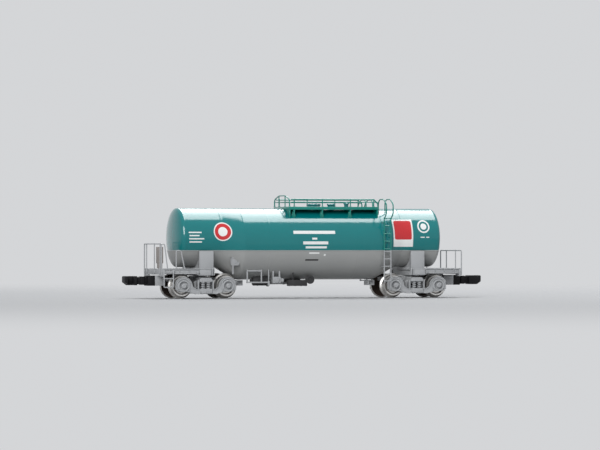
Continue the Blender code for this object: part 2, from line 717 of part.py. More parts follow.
def tank_half_width(x, z):
    """Half the tank's width at a place along it and a height."""
    share = min(max((abs(x) - BELLY_HALF) / CONE_LENGTH, 0.0), 1.0)
    radius = BELLY_RADIUS + (END_RADIUS - BELLY_RADIUS) * share
    return math.sqrt(max(radius**2 - (z - (TANK_TOP_Z - radius)) ** 2, 0.0))


# Bogies, drawn about their own pivots and facing the rear


def side_frame_outline():
    """A casting that arches over each axlebox and dips under the springs between them."""
    half, arch = WHEELBASE / 2, AXLEBOX_RADIUS
    waist, dip = TRANSOM_LENGTH / 2 + 0.9, AXLE_Z - 2.15
    top = dip + 1.35
    right = arc((half, AXLE_Z), arch, 28, 160, 7)
    edge = right[0][0]
    right_side = [(edge, AXLE_Z - 1.0), *right, (half - arch - 0.15, AXLE_Z - 0.2), (waist, top)]
    left_side = [(-x, z) for x, z in right_side[::-1]]
    belly = [
        (-half + 0.9, AXLE_Z - 1.55),
        (-waist - 0.2, dip),
        (waist + 0.2, dip),
        (half - 0.9, AXLE_Z - 1.55),
    ]
    foot = [(-half - 0.9, AXLE_Z - 1.55), *belly, (half + 0.9, AXLE_Z - 1.55)]
    return right_side + left_side + foot


def coil_spring(x, y, low, high):
    """A coil spring as a stack of turns."""
    turns = 3
    pitch = (high - low) / turns
    profile = [(0, low - 0.15)]
    for i in range(turns):
        base = low + i * pitch
        profile += [(SPRING_RADIUS - 0.2, base), (SPRING_RADIUS, base + pitch / 2)]
    profile += [(SPRING_RADIUS - 0.2, high), (0, high + 0.15)]
    return turned(profile, "Z", (x, y, 0), 8)


def side_frame_pieces(side):
    """One side frame, with its axleboxes, its springs and the bolster's end on them."""
    half, outer = WHEELBASE / 2, side * SIDE_FACE_Y
    low, high = sorted((side * FRAME_FACE_Y, outer))
    pieces = [plate(side_frame_outline(), "Y", low, high)]
    for x in (-half, half):
        # A raised rib follows the arch, round a stepped bearing cap
        rib = arc((x, AXLE_Z), AXLEBOX_RADIUS - 0.1, 35, 145, 6)
        rib += arc((x, AXLE_Z), AXLEBOX_RADIUS - 0.5, 145, 35, 4)
        low, high = sorted((outer - side * 0.2, outer + side * 0.2))
        pieces.append(plate(rib, "Y", low, high))
        cap = ((0, -0.3), (1.3, -0.3), (1.3, 0.15), (0.9, 0.2), (0.8, 0.5), (0, 0.5))
        pieces.append(turned([(r, side * d) for r, d in cap], "Y", (x, outer, AXLE_Z), 10))
    dip = AXLE_Z - 0.8
    seat = BOGIE_TOP_Z - 1.55
    middle = side * (FRAME_FACE_Y + SIDE_FRAME_THICKNESS / 2 + 0.1)
    for x in (-SPRING_PITCH / 2, SPRING_PITCH / 2):
        pieces.append(coil_spring(x, middle, dip, seat))
    # The pocket that holds the springs' feet
    waist = TRANSOM_LENGTH / 2
    tray = (side * (FRAME_FACE_Y - 0.2), outer + side * 0.25)
    pieces.append(block((-waist + 0.1, waist - 0.1), tray, (dip - 1.2, dip + 0.05)))
    bolster = [
        (-waist, seat),
        (waist, seat),
        (waist, seat + 0.6),
        (waist - 0.5, BOGIE_TOP_Z - 0.45),
        (-waist + 0.5, BOGIE_TOP_Z - 0.45),
        (-waist, seat + 0.6),
    ]
    low, high = sorted((side * (FRAME_FACE_Y - 0.6), outer + side * 0.1))
    pieces.append(plate(bolster, "Y", low, high))
    return pieces


def brake_pieces(end):
    """A beam across the bogie on two hangers, with a curved shoe before each wheel of an axle."""
    axle, near = end * WHEELBASE / 2, FLANGE_RADIUS + BRAKE_GAP
    shoe = arc((axle, AXLE_Z), near, 90 + end * 72, 90 + end * 104, 3)
    shoe += arc((axle, AXLE_Z), near + BRAKE_SHOE, 90 + end * 104, 90 + end * 72, 1)
    x = axle - end * (near + BRAKE_SHOE)
    z = AXLE_Z - 0.4
    back, face = BACK_TO_BACK / 2 + 0.2, BACK_TO_BACK / 2 + WHEEL_WIDTH - 0.4
    pieces = [block((x - end * 0.35, x + end * 0.25), (-face + 0.3, face - 0.3), (z - 0.25, z + 0.25))]
    for side in (-1, 1):
        low, high = sorted((side * back, side * face))
        pieces.append(plate(shoe, "Y", low, high))
        hanger = (side * (back + 0.3), side * (back + 0.7))
        pieces.append(block((x - end * 0.75, x + end * 0.1), hanger, (z, SPINE_Z[0] + 0.3)))
    return pieces


def pocket_pieces():
    """The coupler's pocket, open to the front, with the pin that it turns on."""
    pivot = PIVOT_X - BOGIE_CENTRES / 2
    back, front, inside = pivot - 2.6, pivot + 2.2, TAIL_RADIUS + 0.2
    tall = COUPLER_HEIGHT / 2 + 0.15
    width, gap = POCKET_WIDTH / 2, tall - POCKET_WALL
    case = block((back, front), (-width, width), (COUPLER_Z - tall, COUPLER_Z + tall))
    mouth = block((pivot - inside, front + 1), (-inside, inside), (COUPLER_Z - gap, COUPLER_Z + gap))
    pin = cylinder("Z", (pivot, 0, COUPLER_Z), PIN_RADIUS, tall * 2 - 0.2, 16)
    return cut(case, mouth), pin


def pinpoint(x, side):
    """The cone that bears an axle's point."""
    start, tip = FRAME_FACE_Y - 0.3, FRAME_FACE_Y + PINPOINT_DEPTH + RUNNING_GAP
    length, middle = tip - start, (x, side * (start + tip) / 2, AXLE_Z)
    near, far = (length, 0.02) if side > 0 else (0.02, length)
    return cylinder("Y", middle, near, length, PINPOINT_SIDES, far)


def build_bogie(end, name):
    centre, half = end * BOGIE_CENTRES / 2, WHEELBASE / 2
    pivot = anchor(f"bogie_{name}_pivot", (centre, 0, BOGIE_TOP_Z))
    width, waist = SPINE_WIDTH / 2, TRANSOM_LENGTH / 2
    reach = PIVOT_X - BOGIE_CENTRES / 2 - 2.4
    tail = -half - TONGUE_LENGTH
    low, across = BOGIE_TOP_Z - 2.05, FRAME_FACE_Y - 0.1
    frame = joined(
        block((-waist + 0.2, waist - 0.2), (-across, across), (low, SPINE_Z[1] + 0.1)),
        cylinder("Z", (0, 0, BOGIE_TOP_Z - 0.6), 2.6, 1.2, 20),
        block((-half - 2.0, reach), (-width, width), SPINE_Z),
        block((tail, -half - 1.3), (-1.2, 1.2), (AXLE_Z + 0.2, SPINE_Z[0] + 0.15)),
        block((tail, tail + 1.8), (-1.9, 1.9), (AXLE_Z, SPINE_Z[0] + 0.35)),
        *pocket_pieces(),
        *side_frame_pieces(-1),
        *side_frame_pieces(1),
        *brake_pieces(-1),
        *brake_pieces(1),
    )
    hole = bore("Z", (0, 0, BOGIE_TOP_Z - 1), KINGPIN_RADIUS + RUNNING_GAP, 6, 12)
    bearings = [pinpoint(x, side) for x in (-half, half) for side in (-1, 1)]
    frame = moved(facing(cut(frame, hole, *bearings), end), centre)
    finish(frame, f"bogie_frame_{name}", FRAME_GREY, pivot)
    # The kingpin, whose head holds the bogie up to the bolster
    under, neck = low - RUNNING_GAP, KINGPIN_RADIUS
    profile = (
        (0, under - 0.5),
        (1.5, under - 0.5),
        (1.9, under - 0.2),
        (1.9, under),
        (neck, under),
        (neck, BOLSTER_Z + 1.2),
        (neck - 0.4, BOLSTER_Z + 1.5),
        (0, BOLSTER_Z + 1.5),
    )
    finish(turned(profile, "Z", (centre, 0, 0), 12), f"kingpin_{name}", BLACK)
    build_wheelset(centre + end * half, f"{name}_outer", pivot)
    build_wheelset(centre - end * half, f"{name}_inner", pivot)
    build_coupler(end, name, pivot)


def build_wheelset(x, name, bogie):
    axis = anchor(f"axle_{name}_pivot", (x, 0, AXLE_Z), bogie)
    tip = FRAME_FACE_Y + PINPOINT_DEPTH
    shoulder = tip - AXLE_RADIUS * 1.15
    profile = [(0, -tip), (AXLE_RADIUS, -shoulder), (AXLE_RADIUS, shoulder), (0, tip)]
    finish(turned(profile, "Y", (x, 0, AXLE_Z), WHEEL_SIDES), f"axle_{name}", AXLE_METAL, axis)
    back, face = BACK_TO_BACK / 2, BACK_TO_BACK / 2 + WHEEL_WIDTH
    seat = AXLE_RADIUS + SEAT_GAP
    rim = (
        (seat, back),
        (FLANGE_RADIUS - 0.2, back),
        (FLANGE_RADIUS, back + 0.2),
        (TREAD_RADIUS + 0.12, back + 0.6),
        (TREAD_RADIUS, face),
        (TREAD_RADIUS - 0.5, face),
        (TREAD_RADIUS - 0.65, face - 0.5),
        (AXLE_RADIUS + 0.6, face - 0.5),
        (seat, face - 0.1),
    )
    for side, word in ((-1, "near"), (1, "far")):
        profile = [(radius, side * y) for radius, y in rim]
        ring = turned(profile, "Y", (x, 0, AXLE_Z), WHEEL_SIDES, True)
        finish(ring, f"wheel_{name}_{word}", WHEEL_METAL, axis)


def build_coupler(end, name, bogie):
    """A hook coupler: a round tail on the pocket's pin, a shank, and a head open on one side."""
    start, tip = PIVOT_X, BEAM_X + COUPLER_REACH
    pivot = anchor(f"coupler_{name}_pivot", (end * start, 0, COUPLER_Z), bogie)
    low, high = COUPLER_Z - COUPLER_HEIGHT / 2, COUPLER_Z + COUPLER_HEIGHT / 2
    tall = COUPLER_HEIGHT / 2 + 0.15 - POCKET_WALL - RUNNING_GAP
    half = COUPLER_WIDTH / 2
    tail = cylinder("Z", (start, 0, COUPLER_Z), TAIL_RADIUS, tall * 2, 20)
    shank = block((start, tip - 3.0), (-0.7, 0.7), (COUPLER_Z - tall, COUPLER_Z + tall))
    collar = block((start + 2.9, start + 4.0), (-1.05, 1.05), (low + 0.1, high - 0.1))
    # The head's lower front edge slopes, so that two heads ride over each other
    nose = [
        (tip - 3.4, low),
        (tip - 1.1, low),
        (tip, low + 0.8),
        (tip, high - 0.2),
        (tip - 0.2, high),
        (tip - 3.4, high),
    ]
    head = plate(nose, "Y", -half, half)
    window = block((tip - 2.6, tip - 0.85), (-half + 0.6, half + 1), (low - 1, high + 1))
    hole = bore("Z", (start, 0, COUPLER_Z), PIN_RADIUS + RUNNING_GAP, 4, 16)
    hook = cut(joined(tail, shank, collar, head), window, hole)
    finish(facing(hook, end), f"coupler_{name}", BLACK, pivot)


clear_scene()
PARTS = new_collection("tank_car")
FRONT_POSTS = (-6.1, 1.5, 7.0)
build_tank()
build_hatches()
build_walkway()
build_handrails()
build_ladder(-1, "near")
build_ladder(1, "far")
for END, NAME in ((-1, "front"), (1, "rear")):
    build_end_frame(END, NAME)
    build_steps(END, NAME)
    build_bogie(END, NAME)
build_platform_railing(-1, "front", TALL_RAILING, FRONT_POSTS, True)
build_platform_railing(1, "rear", LOW_RAILING, (-3.6, 3.6), False)
build_handbrake(FRONT_POSTS[1:])
build_brake_gear()
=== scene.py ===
"""The looks of an N gauge model tank car: moulded plastic shells, fine railings and turned wheels.

The CAD frame gives every place. Pieces are modelled in millimetres and settled in metres.
+X runs to the end with the low railing, -Y is the near side with the brake gear.
"""

import math

import bpy
from mathutils import Matrix, Vector


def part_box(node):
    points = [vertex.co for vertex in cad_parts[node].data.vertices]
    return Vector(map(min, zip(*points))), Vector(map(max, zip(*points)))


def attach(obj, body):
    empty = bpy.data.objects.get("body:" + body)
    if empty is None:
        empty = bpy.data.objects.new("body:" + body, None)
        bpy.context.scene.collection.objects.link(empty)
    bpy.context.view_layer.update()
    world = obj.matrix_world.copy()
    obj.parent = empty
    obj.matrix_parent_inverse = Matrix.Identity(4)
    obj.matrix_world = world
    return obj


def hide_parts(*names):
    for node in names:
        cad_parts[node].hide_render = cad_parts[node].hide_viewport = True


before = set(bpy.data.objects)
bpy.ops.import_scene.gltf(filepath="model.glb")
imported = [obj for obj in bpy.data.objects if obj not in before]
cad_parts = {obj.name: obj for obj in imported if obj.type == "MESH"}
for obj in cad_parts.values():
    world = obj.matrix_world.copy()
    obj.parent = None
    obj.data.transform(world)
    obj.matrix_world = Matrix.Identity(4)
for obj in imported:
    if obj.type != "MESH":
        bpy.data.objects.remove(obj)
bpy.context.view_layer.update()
bpy.ops.object.select_all(action="DESELECT")

# Camera: the photograph's view, level with the tank and 18 degrees round from square on,
# on the side with the brake gear, far enough back to flatten the perspective.
view_angle = math.radians(18.156)
view_distance, view_height = 1.0766, 0.014516
bpy.ops.object.camera_add(
    location=(-view_distance * math.sin(view_angle), -view_distance * math.cos(view_angle), view_height),
    rotation=(math.pi / 2, 0, -view_angle),
)
camera = bpy.context.object
camera.data.lens = 237.7
camera.data.shift_x = -0.0062
camera.data.shift_y = 0.0325
bpy.context.scene.camera = camera
bpy.context.scene.view_settings.view_transform = "Standard"

# Table: a plain pale top, matt enough to hold the car's soft shadow, which fades into
# the pale surroundings with distance so that no far edge shows.
pale, table_grey = (0.66, 0.67, 0.685, 1), (0.33, 0.336, 0.344, 1)


def new_look(name):
    """A new material, with its nodes, its links and its shader's sockets."""
    look = bpy.data.materials.new(name)
    look.use_nodes = True
    nodes = look.node_tree.nodes
    return look, nodes, look.node_tree.links, nodes["Principled BSDF"].inputs


def added(nodes, kind, values=(), **settings):
    """A new node of a kind, with values for its sockets, and its settings."""
    node = nodes.new("ShaderNode" + kind)
    for key, value in settings.items():
        setattr(node, key, value)
    for socket, value in dict(values).items():
        node.inputs[socket].default_value = value
    return node


def seen_rays(nodes, links):
    """A socket that is 1 for what is seen directly, in gloss, or through something clear."""
    rays = added(nodes, "LightPath")
    seen = rays.outputs["Is Camera Ray"]
    for kind in ("Is Glossy Ray", "Is Transmission Ray"):
        either = added(nodes, "Math", operation="MAXIMUM")
        links.new(seen, either.inputs[0])
        links.new(rays.outputs[kind], either.inputs[1])
        seen = either.outputs[0]
    return seen


bpy.ops.mesh.primitive_circle_add(vertices=64, radius=12, fill_type="NGON")
table_top = bpy.context.object
table_top.name = "table_top"
table_paint, nodes, links, sockets = new_look("table_paint")
sockets["Base Color"].default_value = table_grey
sockets["Roughness"].default_value = 0.85
place = added(nodes, "TexCoord")
distance = added(nodes, "VectorMath", operation="LENGTH")
reach = {"From Min": 0.1, "From Max": 0.45}
fade = added(nodes, "MapRange", reach, interpolation_type="SMOOTHSTEP")
faded = added(nodes, "Math", operation="MULTIPLY")
far = added(nodes, "Emission", {"Color": pale})
mix = added(nodes, "MixShader")
links.new(place.outputs["Object"], distance.inputs[0])
links.new(distance.outputs["Value"], fade.inputs["Value"])
links.new(seen_rays(nodes, links), faded.inputs[0])
links.new(fade.outputs["Result"], faded.inputs[1])
links.new(faded.outputs[0], mix.inputs["Fac"])
links.new(nodes["Principled BSDF"].outputs[0], mix.inputs[1])
links.new(far.outputs[0], mix.inputs[2])
links.new(mix.outputs[0], nodes["Material Output"].inputs["Surface"])
table_top.data.materials.append(table_paint)

# Light: a wide soft panel overhead that reaches back behind the car and leaves the white
# band along the top of the tank, a weaker one beside the camera, and a pale room around.
lamps = (
    # name, place, aimed at, width, depth, watts
    ("overhead_panel", (0.21, 0.42, 0.62), (0.21, 0.42, 0.0), 0.26, 1.18, 7.3),
    ("camera_side_panel", (-0.6, -0.9, 0.5), (0.0, 0.0, 0.012), 0.5, 0.6, 9.6),
)
for name, place, aim, width, depth, watts in lamps:
    bpy.ops.object.light_add(type="AREA", location=place)
    lamp = bpy.context.object
    lamp.name = name
    lamp.data.shape = "RECTANGLE"
    lamp.data.size, lamp.data.size_y, lamp.data.energy = width, depth, watts
    lamp.rotation_euler = (Vector(aim) - Vector(place)).to_track_quat("-Z", "Y").to_euler()
room = bpy.data.worlds.new("room")
bpy.context.scene.world = room
room.use_nodes = True
nodes, links = room.node_tree.nodes, room.node_tree.links
nodes["Background"].inputs["Color"].default_value = (0.92, 0.95, 1.0, 1)
nodes["Background"].inputs["Strength"].default_value = 0.35
behind = added(nodes, "Background", {"Color": pale})
mix = added(nodes, "MixShader")
links.new(seen_rays(nodes, links), mix.inputs["Fac"])
links.new(nodes["Background"].outputs[0], mix.inputs[1])
links.new(behind.outputs[0], mix.inputs[2])
links.new(mix.outputs[0], nodes["World Output"].inputs["Surface"])

# Tank: two glossy mouldings that clip together at the paint line, green above and grey
# below, round a funnel-bellied shape whose top is level. Fine beads stand for the welds.
belly_half, cone_length, barrel_half = 19.5, 6.0, 36.0
end_radius, head_depth = 7.95, 1.85
edge_softness = 0.13  # as a share of the cone's length
bead_width, bead_height, middle_seam = 0.3, 0.014, 12.5
tank_sides = 176
facing = {
    "X": (Vector((1, 0, 0)), (0, math.pi / 2, 0)),
    "Y": (Vector((0, 1, 0)), (-math.pi / 2, 0, 0)),
    "Z": (Vector((0, 0, 1)), (0, 0, 0)),
}


def corners_mm(node):
    """A CAD node's lowest and highest corners, in millimetres."""
    return [corner * 1000 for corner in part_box(node)]


tank_low, tank_high = corners_mm("tank_upper_shell")
belly_radius, tank_top = tank_high.y, tank_high.z
paint_line = tank_low.z - 0.025


def barrel_radius(x):
    """The radius at a place on the tank's length, with the cones' edges softened."""
    along = (belly_half + cone_length - x) / cone_length
    steps = ((1, edge_softness), (-1, -edge_softness), (-1, edge_softness - 1), (1, -edge_softness - 1))
    share = sum(sign * max(along + shift, 0) ** 2 for sign, shift in steps) / (4 * edge_softness)
    return end_radius + (belly_radius - end_radius) * share


def tank_stations(grown):
    """Stations from head to head as (centre, radius), for the tank's skin or one over it."""
    half = []
    for angle in (89.5, 82, 74, 66, 57, 48, 38, 28, 18, 9):
        turn = math.radians(angle)
        x = barrel_half + (head_depth + grown) * math.sin(turn)
        half.append((x, (end_radius + grown) * math.cos(turn), tank_top - end_radius))
    barrel = []
    for x in (barrel_half - bead_width, belly_half + cone_length, belly_half, middle_seam):
        barrel += [(x + offset, 0) for offset in (0.9, 0.6, 0.35) if x + offset < barrel_half]
        for offset, lift in ((0.5, 0), (0.25, bead_height), (-0.25, bead_height), (-0.5, 0)):
            barrel.append((x + offset * bead_width, lift))
        barrel += [(x - offset, 0) for offset in (0.35, 0.6, 0.9)]
    for x, lift in barrel:
        radius = barrel_radius(x) + grown
        half.append((x, radius + lift, tank_top + grown - radius))
    whole = [(-x, radius, z) for x, radius, z in half] + half[::-1]
    return [(Vector((x, 0, z)), radius) for x, radius, z in whole]


def only(obj):
    """Makes an object the only one selected."""
    bpy.ops.object.select_all(action="DESELECT")
    obj.select_set(True)
    bpy.context.view_layer.objects.active = obj
    return obj


def closed_up():
    """Turns all faces of the mesh being edited outwards, and leaves it."""
    bpy.ops.mesh.select_all(action="SELECT")
    bpy.ops.mesh.normals_make_consistent(inside=False)
    bpy.ops.object.mode_set(mode="OBJECT")
    return bpy.context.object


def drawn(axis, stations, sides):
    """A disc that faces along an axis, drawn through stations of (centre, radius)."""
    bpy.ops.object.select_all(action="DESELECT")
    bpy.ops.mesh.primitive_circle_add(
        vertices=sides,
        radius=stations[0][1],
        fill_type="NGON",
        location=stations[0][0],
        rotation=facing[axis][1],
        enter_editmode=True,
    )
    for (centre, radius), (next_centre, next_radius) in zip(stations, stations[1:]):
        bpy.ops.mesh.extrude_region_move(TRANSFORM_OT_translate={"value": next_centre - centre})
        bpy.ops.transform.resize(value=(next_radius / radius,) * 3, center_override=next_centre)
    obj = closed_up()
    bpy.ops.object.transform_apply()
    return obj


def drawn_tank(grown=0.0):
    """The tank's closed outside, or a skin over it."""
    return drawn("X", tank_stations(grown), tank_sides)


def sliced(obj, height, keep_above):
    """What is left of a closed mesh above or below a level, closed again there."""
    only(obj)
    bpy.ops.object.mode_set(mode="EDIT")
    bpy.ops.mesh.select_all(action="SELECT")
    bpy.ops.mesh.bisect(
        plane_co=(0, 0, height),
        plane_no=(0, 0, 1),
        use_fill=True,
        clear_inner=keep_above,
        clear_outer=not keep_above,
    )
    bpy.ops.object.mode_set(mode="OBJECT")
    return obj


def as_one(pieces):
    """Joins pieces to one object."""
    only(pieces[0])
    for piece in pieces[1:]:
        piece.select_set(True)
    if len(pieces) > 1:
        bpy.ops.object.join()
    return pieces[0]


def settled(pieces, name, look, body, slot, *replaced):
    """Joins finished pieces to one, brings it to metres and hands it to the frame."""
    obj = as_one(pieces)
    bpy.ops.object.transform_apply()
    obj.data.transform(Matrix.Scale(0.001, 4))
    bpy.ops.object.shade_smooth_by_angle(angle=math.radians(38))
    obj.name = obj.data.name = name
    obj.data.materials.clear()
    obj.data.materials.append(look)
    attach(obj, body)
    if replaced:
        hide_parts(*replaced)


def moulded(name, colour, variation, roughness, grain, coat=0.0, coat_roughness=0.1):
    """Plastic or paint: a colour with faint clouding, a little grain, and dulled patches."""
    look, nodes, links, sockets = new_look(name)
    place = added(nodes, "TexCoord")
    clouds = added(nodes, "TexNoise", {"Scale": 160, "Detail": 4})
    dark = (*[c * (1 - variation) for c in colour], 1)
    light = (*[min(c * (1 + variation), 1) for c in colour], 1)
    shades = added(nodes, "Mix", data_type="RGBA")
    shades.inputs[6].default_value, shades.inputs[7].default_value = dark, light
    dulling = {"To Min": roughness * 0.85, "To Max": roughness * 1.15}
    gloss = added(nodes, "MapRange", {"From Min": 0.3, "From Max": 0.7, **dulling})
    fine = added(nodes, "TexNoise", {"Scale": 5200, "Detail": 2})
    bump = added(nodes, "Bump", {"Strength": grain, "Distance": 0.00002})
    for texture in (clouds, fine):
        links.new(place.outputs["Object"], texture.inputs["Vector"])
    links.new(clouds.outputs["Fac"], shades.inputs[0])
    links.new(clouds.outputs["Fac"], gloss.inputs["Value"])
    links.new(fine.outputs["Fac"], bump.inputs["Height"])
    links.new(shades.outputs[2], sockets["Base Color"])
    links.new(gloss.outputs["Result"], sockets["Roughness"])
    links.new(bump.outputs["Normal"], sockets["Normal"])
    sockets["Coat Weight"].default_value = coat
    sockets["Coat Roughness"].default_value = coat_roughness
    sockets["Coat IOR"].default_value = 1.5
    sockets["Specular IOR Level"].default_value = 0.1
    return look


tank_green = moulded("tank_green", (0.0, 0.17, 0.177), 0.05, 0.2, 0.12, coat=1.0, coat_roughness=0.11)
tank_grey = moulded("tank_grey", (0.34, 0.345, 0.34), 0.06, 0.36, 0.2, coat=0.25, coat_roughness=0.2)
upper_shell = sliced(drawn_tank(), paint_line + 0.03, True)
settled([upper_shell], "tank_upper_shell_smooth", tank_green, "car", "tank_green", "tank_upper_shell")
lower_shell = [sliced(drawn_tank(), paint_line - 0.02, False)]
lower_shell.append(sliced(sliced(drawn_tank(0.07), paint_line - 0.02, False), paint_line - 0.24, True))
settled(lower_shell, "tank_lower_shell_smooth", tank_grey, "car", "tank_grey", "tank_lower_shell")

# Fittings on the tank: a manhole with a hinged, bolted lid, a loading valve and a safety
# valve. They are green mouldings pushed into the top of the tank.
walkway_low, walkway_high = corners_mm("walkway")
walkway_start, walkway_end = walkway_low.x, walkway_high.x
walkway_top, walkway_half = walkway_high.z, walkway_high.y


def modified(obj, kind, **values):
    """Puts a modifier on an object with its values, and applies it."""
    only(obj)
    bpy.ops.object.modifier_add(type=kind)
    modifier = obj.modifiers[-1]
    for key, value in values.items():
        setattr(modifier, key, value)
    bpy.ops.object.modifier_apply(modifier=modifier.name)
    return obj


def eased(obj, width=0.06, segments=2):
    """Rounds an object's sharp edges, as a mould does."""
    return modified(obj, "BEVEL", width=width, segments=segments, limit_method="ANGLE", angle_limit=0.6)


def turned(axis, centre, stations, sides=32):
    """A disc drawn along an axis through stations of (distance from the centre, radius)."""
    along, centre = facing[axis][0], Vector(centre)
    return drawn(axis, [(centre + along * distance, radius) for distance, radius in stations], sides)


def about(middle, half):
    """A pair of places on either side of a middle."""
    return (middle - half, middle + half)


def block(x, y, z):
    """A bar or box between two places along each axis."""
    ends = [sorted(pair) for pair in (x, y, z)]
    bpy.ops.object.select_all(action="DESELECT")
    bpy.ops.mesh.primitive_cube_add(
        size=1,
        location=[(low + high) / 2 for low, high in ends],
        scale=[high - low for low, high in ends],
    )
    bpy.ops.object.transform_apply()
    return bpy.context.object


def blocks(*places):
    """Several bars, each given by its places along the three axes."""
    return [block(*place) for place in places]


def wire(points, radius=0.17, bend=0.35, sides=10):
    """A round bar along points, bent with a radius at each corner between them."""
    points = [Vector(point) for point in points]
    path = [points[0]]
    for before, corner, after in zip(points, points[1:], points[2:]):
        reach = min(bend, (before - corner).length * 0.45, (after - corner).length * 0.45)
        start = corner + (before - corner).normalized() * reach
        end = corner + (after - corner).normalized() * reach
        for share in (0, 0.25, 0.5, 0.75, 1):
            path.append(start.lerp(corner, share).lerp(corner.lerp(end, share), share))
    path.append(points[-1])
    bpy.ops.object.select_all(action="DESELECT")
    bpy.ops.curve.primitive_bezier_curve_add()
    obj = bpy.context.object
    obj.data.splines.clear()
    spline = obj.data.splines.new("POLY")
    spline.points.add(len(path) - 1)
    for point, place in zip(spline.points, path):
        point.co = (*place, 1)
    obj.data.bevel_depth = radius
    obj.data.bevel_resolution = sides // 2 - 2
    obj.data.use_fill_caps = True
    bpy.ops.object.convert(target="MESH")
    bpy.ops.object.mode_set(mode="EDIT")
    bpy.ops.mesh.select_all(action="SELECT")
    bpy.ops.mesh.remove_doubles(threshold=0.001)
    return closed_up()


def bolt_head(axis, place, shoulder, crown, radius=0.11, tip=0.07):
    """A hexagon head that stands up from a place along an axis."""
    return turned(axis, place, [(0, radius), (shoulder, radius), (crown, tip)], 6)


def ring_of_bolts(axis, centre, circle, count, radius=0.1, height=0.1):
    """Bolt heads round a circle."""
    bolts = []
    for i in range(count):
        angle = math.tau * i / count
        a, b = circle * math.cos(angle), circle * math.sin(angle)
        place = Vector(centre) + Vector({"X": (0, a, b), "Y": (a, 0, b), "Z": (a, b, 0)}[axis])
        bolts.append(bolt_head(axis, place, height * 0.7, height, radius, radius * 0.7))
    return bolts


top_fittings = (
    # node, distance along the walkway, radius, height of the neck, depth of the lid
    ("manhole", 9.2, 1.75, 0.8, 0.35),
    ("loading_valve", 14.2, 0.95, 0.9, 0.3),
    ("safety_valve", 18.6, 0.6, 1.2, 0.25),
)
for node, distance, radius, neck, lid in top_fittings:
    x, lip, crown = walkway_start + distance, radius + 0.2, neck + lid
    sides, bolts = (48, 12) if radius > 1 else (32, 6)
    stations = [(-0.5, radius + 0.16), (0.14, radius + 0.16), (0.24, radius), (neck - 0.1, radius)]
    stations += [(neck - 0.04, lip - 0.02), (neck, lip), (crown - 0.12, lip), (crown - 0.03, lip - 0.05)]
    stations += [(crown, lip - 0.12), (crown + 0.05, lip * 0.8), (crown + 0.12, lip * 0.45)]
    pieces = [turned("Z", (x, 0, tank_top), stations, sides)]
    pieces += ring_of_bolts("Z", (x, 0, tank_top + crown), lip - 0.2, bolts, 0.11)
    if node == "manhole":
        handle = ((-0.6, 0), (-0.6, 0.4), (0.6, 0.4), (0.6, 0))
        pieces.append(wire([(x + a, -0.5, tank_top + crown + b) for a, b in handle], 0.09))
        for side in (-0.45, 0.45):
            lug = (tank_top + neck - 0.35, tank_top + crown + 0.1)
            pieces.append(eased(block(about(x + side, 0.13), (1.7, 2.2), lug)))
        pieces.append(wire([(a, 2.02, tank_top + crown - 0.12) for a in about(x, 0.75)], 0.11))
    settled(pieces, node + "_detail", tank_green, "car", "tank_green", node)

# Walkway: an open frame round the fittings, decked with cross bars and held on gussets
# that are shaped to the tank. It is one green moulding in a slightly stronger green.
rail_green = moulded("rail_green", (0.0, 0.21, 0.17), 0.06, 0.34, 0.25, coat=1.0, coat_roughness=0.14)
bracket_places = [walkway_start + 1.55 + 8 * i for i in range(3)]
well_half, slat_pitch = 2.4, 0.48
well_start, well_end = walkway_start + 6.8, walkway_start + 20.2


def plate(outline, axis, low, high):
    """A flat plate of an outline, drawn out between two places along an axis."""
    low, high = sorted((low, high))
    bpy.ops.object.select_all(action="DESELECT")
    bpy.ops.mesh.primitive_circle_add(vertices=len(outline), fill_type="NGON")
    obj = bpy.context.object
    for vertex, (a, b) in zip(obj.data.vertices, outline):
        vertex.co = {"X": (low, a, b), "Y": (a, low, b), "Z": (a, b, low)}[axis]
    bpy.ops.object.mode_set(mode="EDIT")
    bpy.ops.mesh.select_all(action="SELECT")
    bpy.ops.mesh.extrude_region_move(TRANSFORM_OT_translate={"value": facing[axis][0] * (high - low)})
    return closed_up()


def row_of(obj, count, step):
    """An object repeated at equal steps, all of it one mesh."""
    return modified(
        obj,
        "ARRAY",
        count=count,
        use_relative_offset=False,
        use_constant_offset=True,
        constant_offset_displace=step,
    )


def arc(a, b, radius, first, last, steps):
    """Points round a centre, from one angle to another in degrees."""
    angles = [math.radians(first + (last - first) * i / steps) for i in range(steps + 1)]
    return [(a + radius * math.cos(angle), b + radius * math.sin(angle)) for angle in angles]


def over_belly(y, gap=0.05):
    """The height at which a piece rests on the belly's barrel, at a distance from the middle."""
    return tank_top - belly_radius + math.sqrt((belly_radius + gap) ** 2 - y**2)


start, end, half, top = walkway_start, walkway_end, walkway_half, walkway_top


def deck_strips(ends, edge, well, across):
    """The strips of deck round the well as (low x, high x, near y, far y), by their gaps."""
    return (
        (start + ends, end - ends, edge - half, -well_half - well),
        (start + ends, end - ends, well_half + well, half - edge),
        (start + ends, well_start - well, -across, across),
        (well_end + well, end - ends, -across, across),
    )


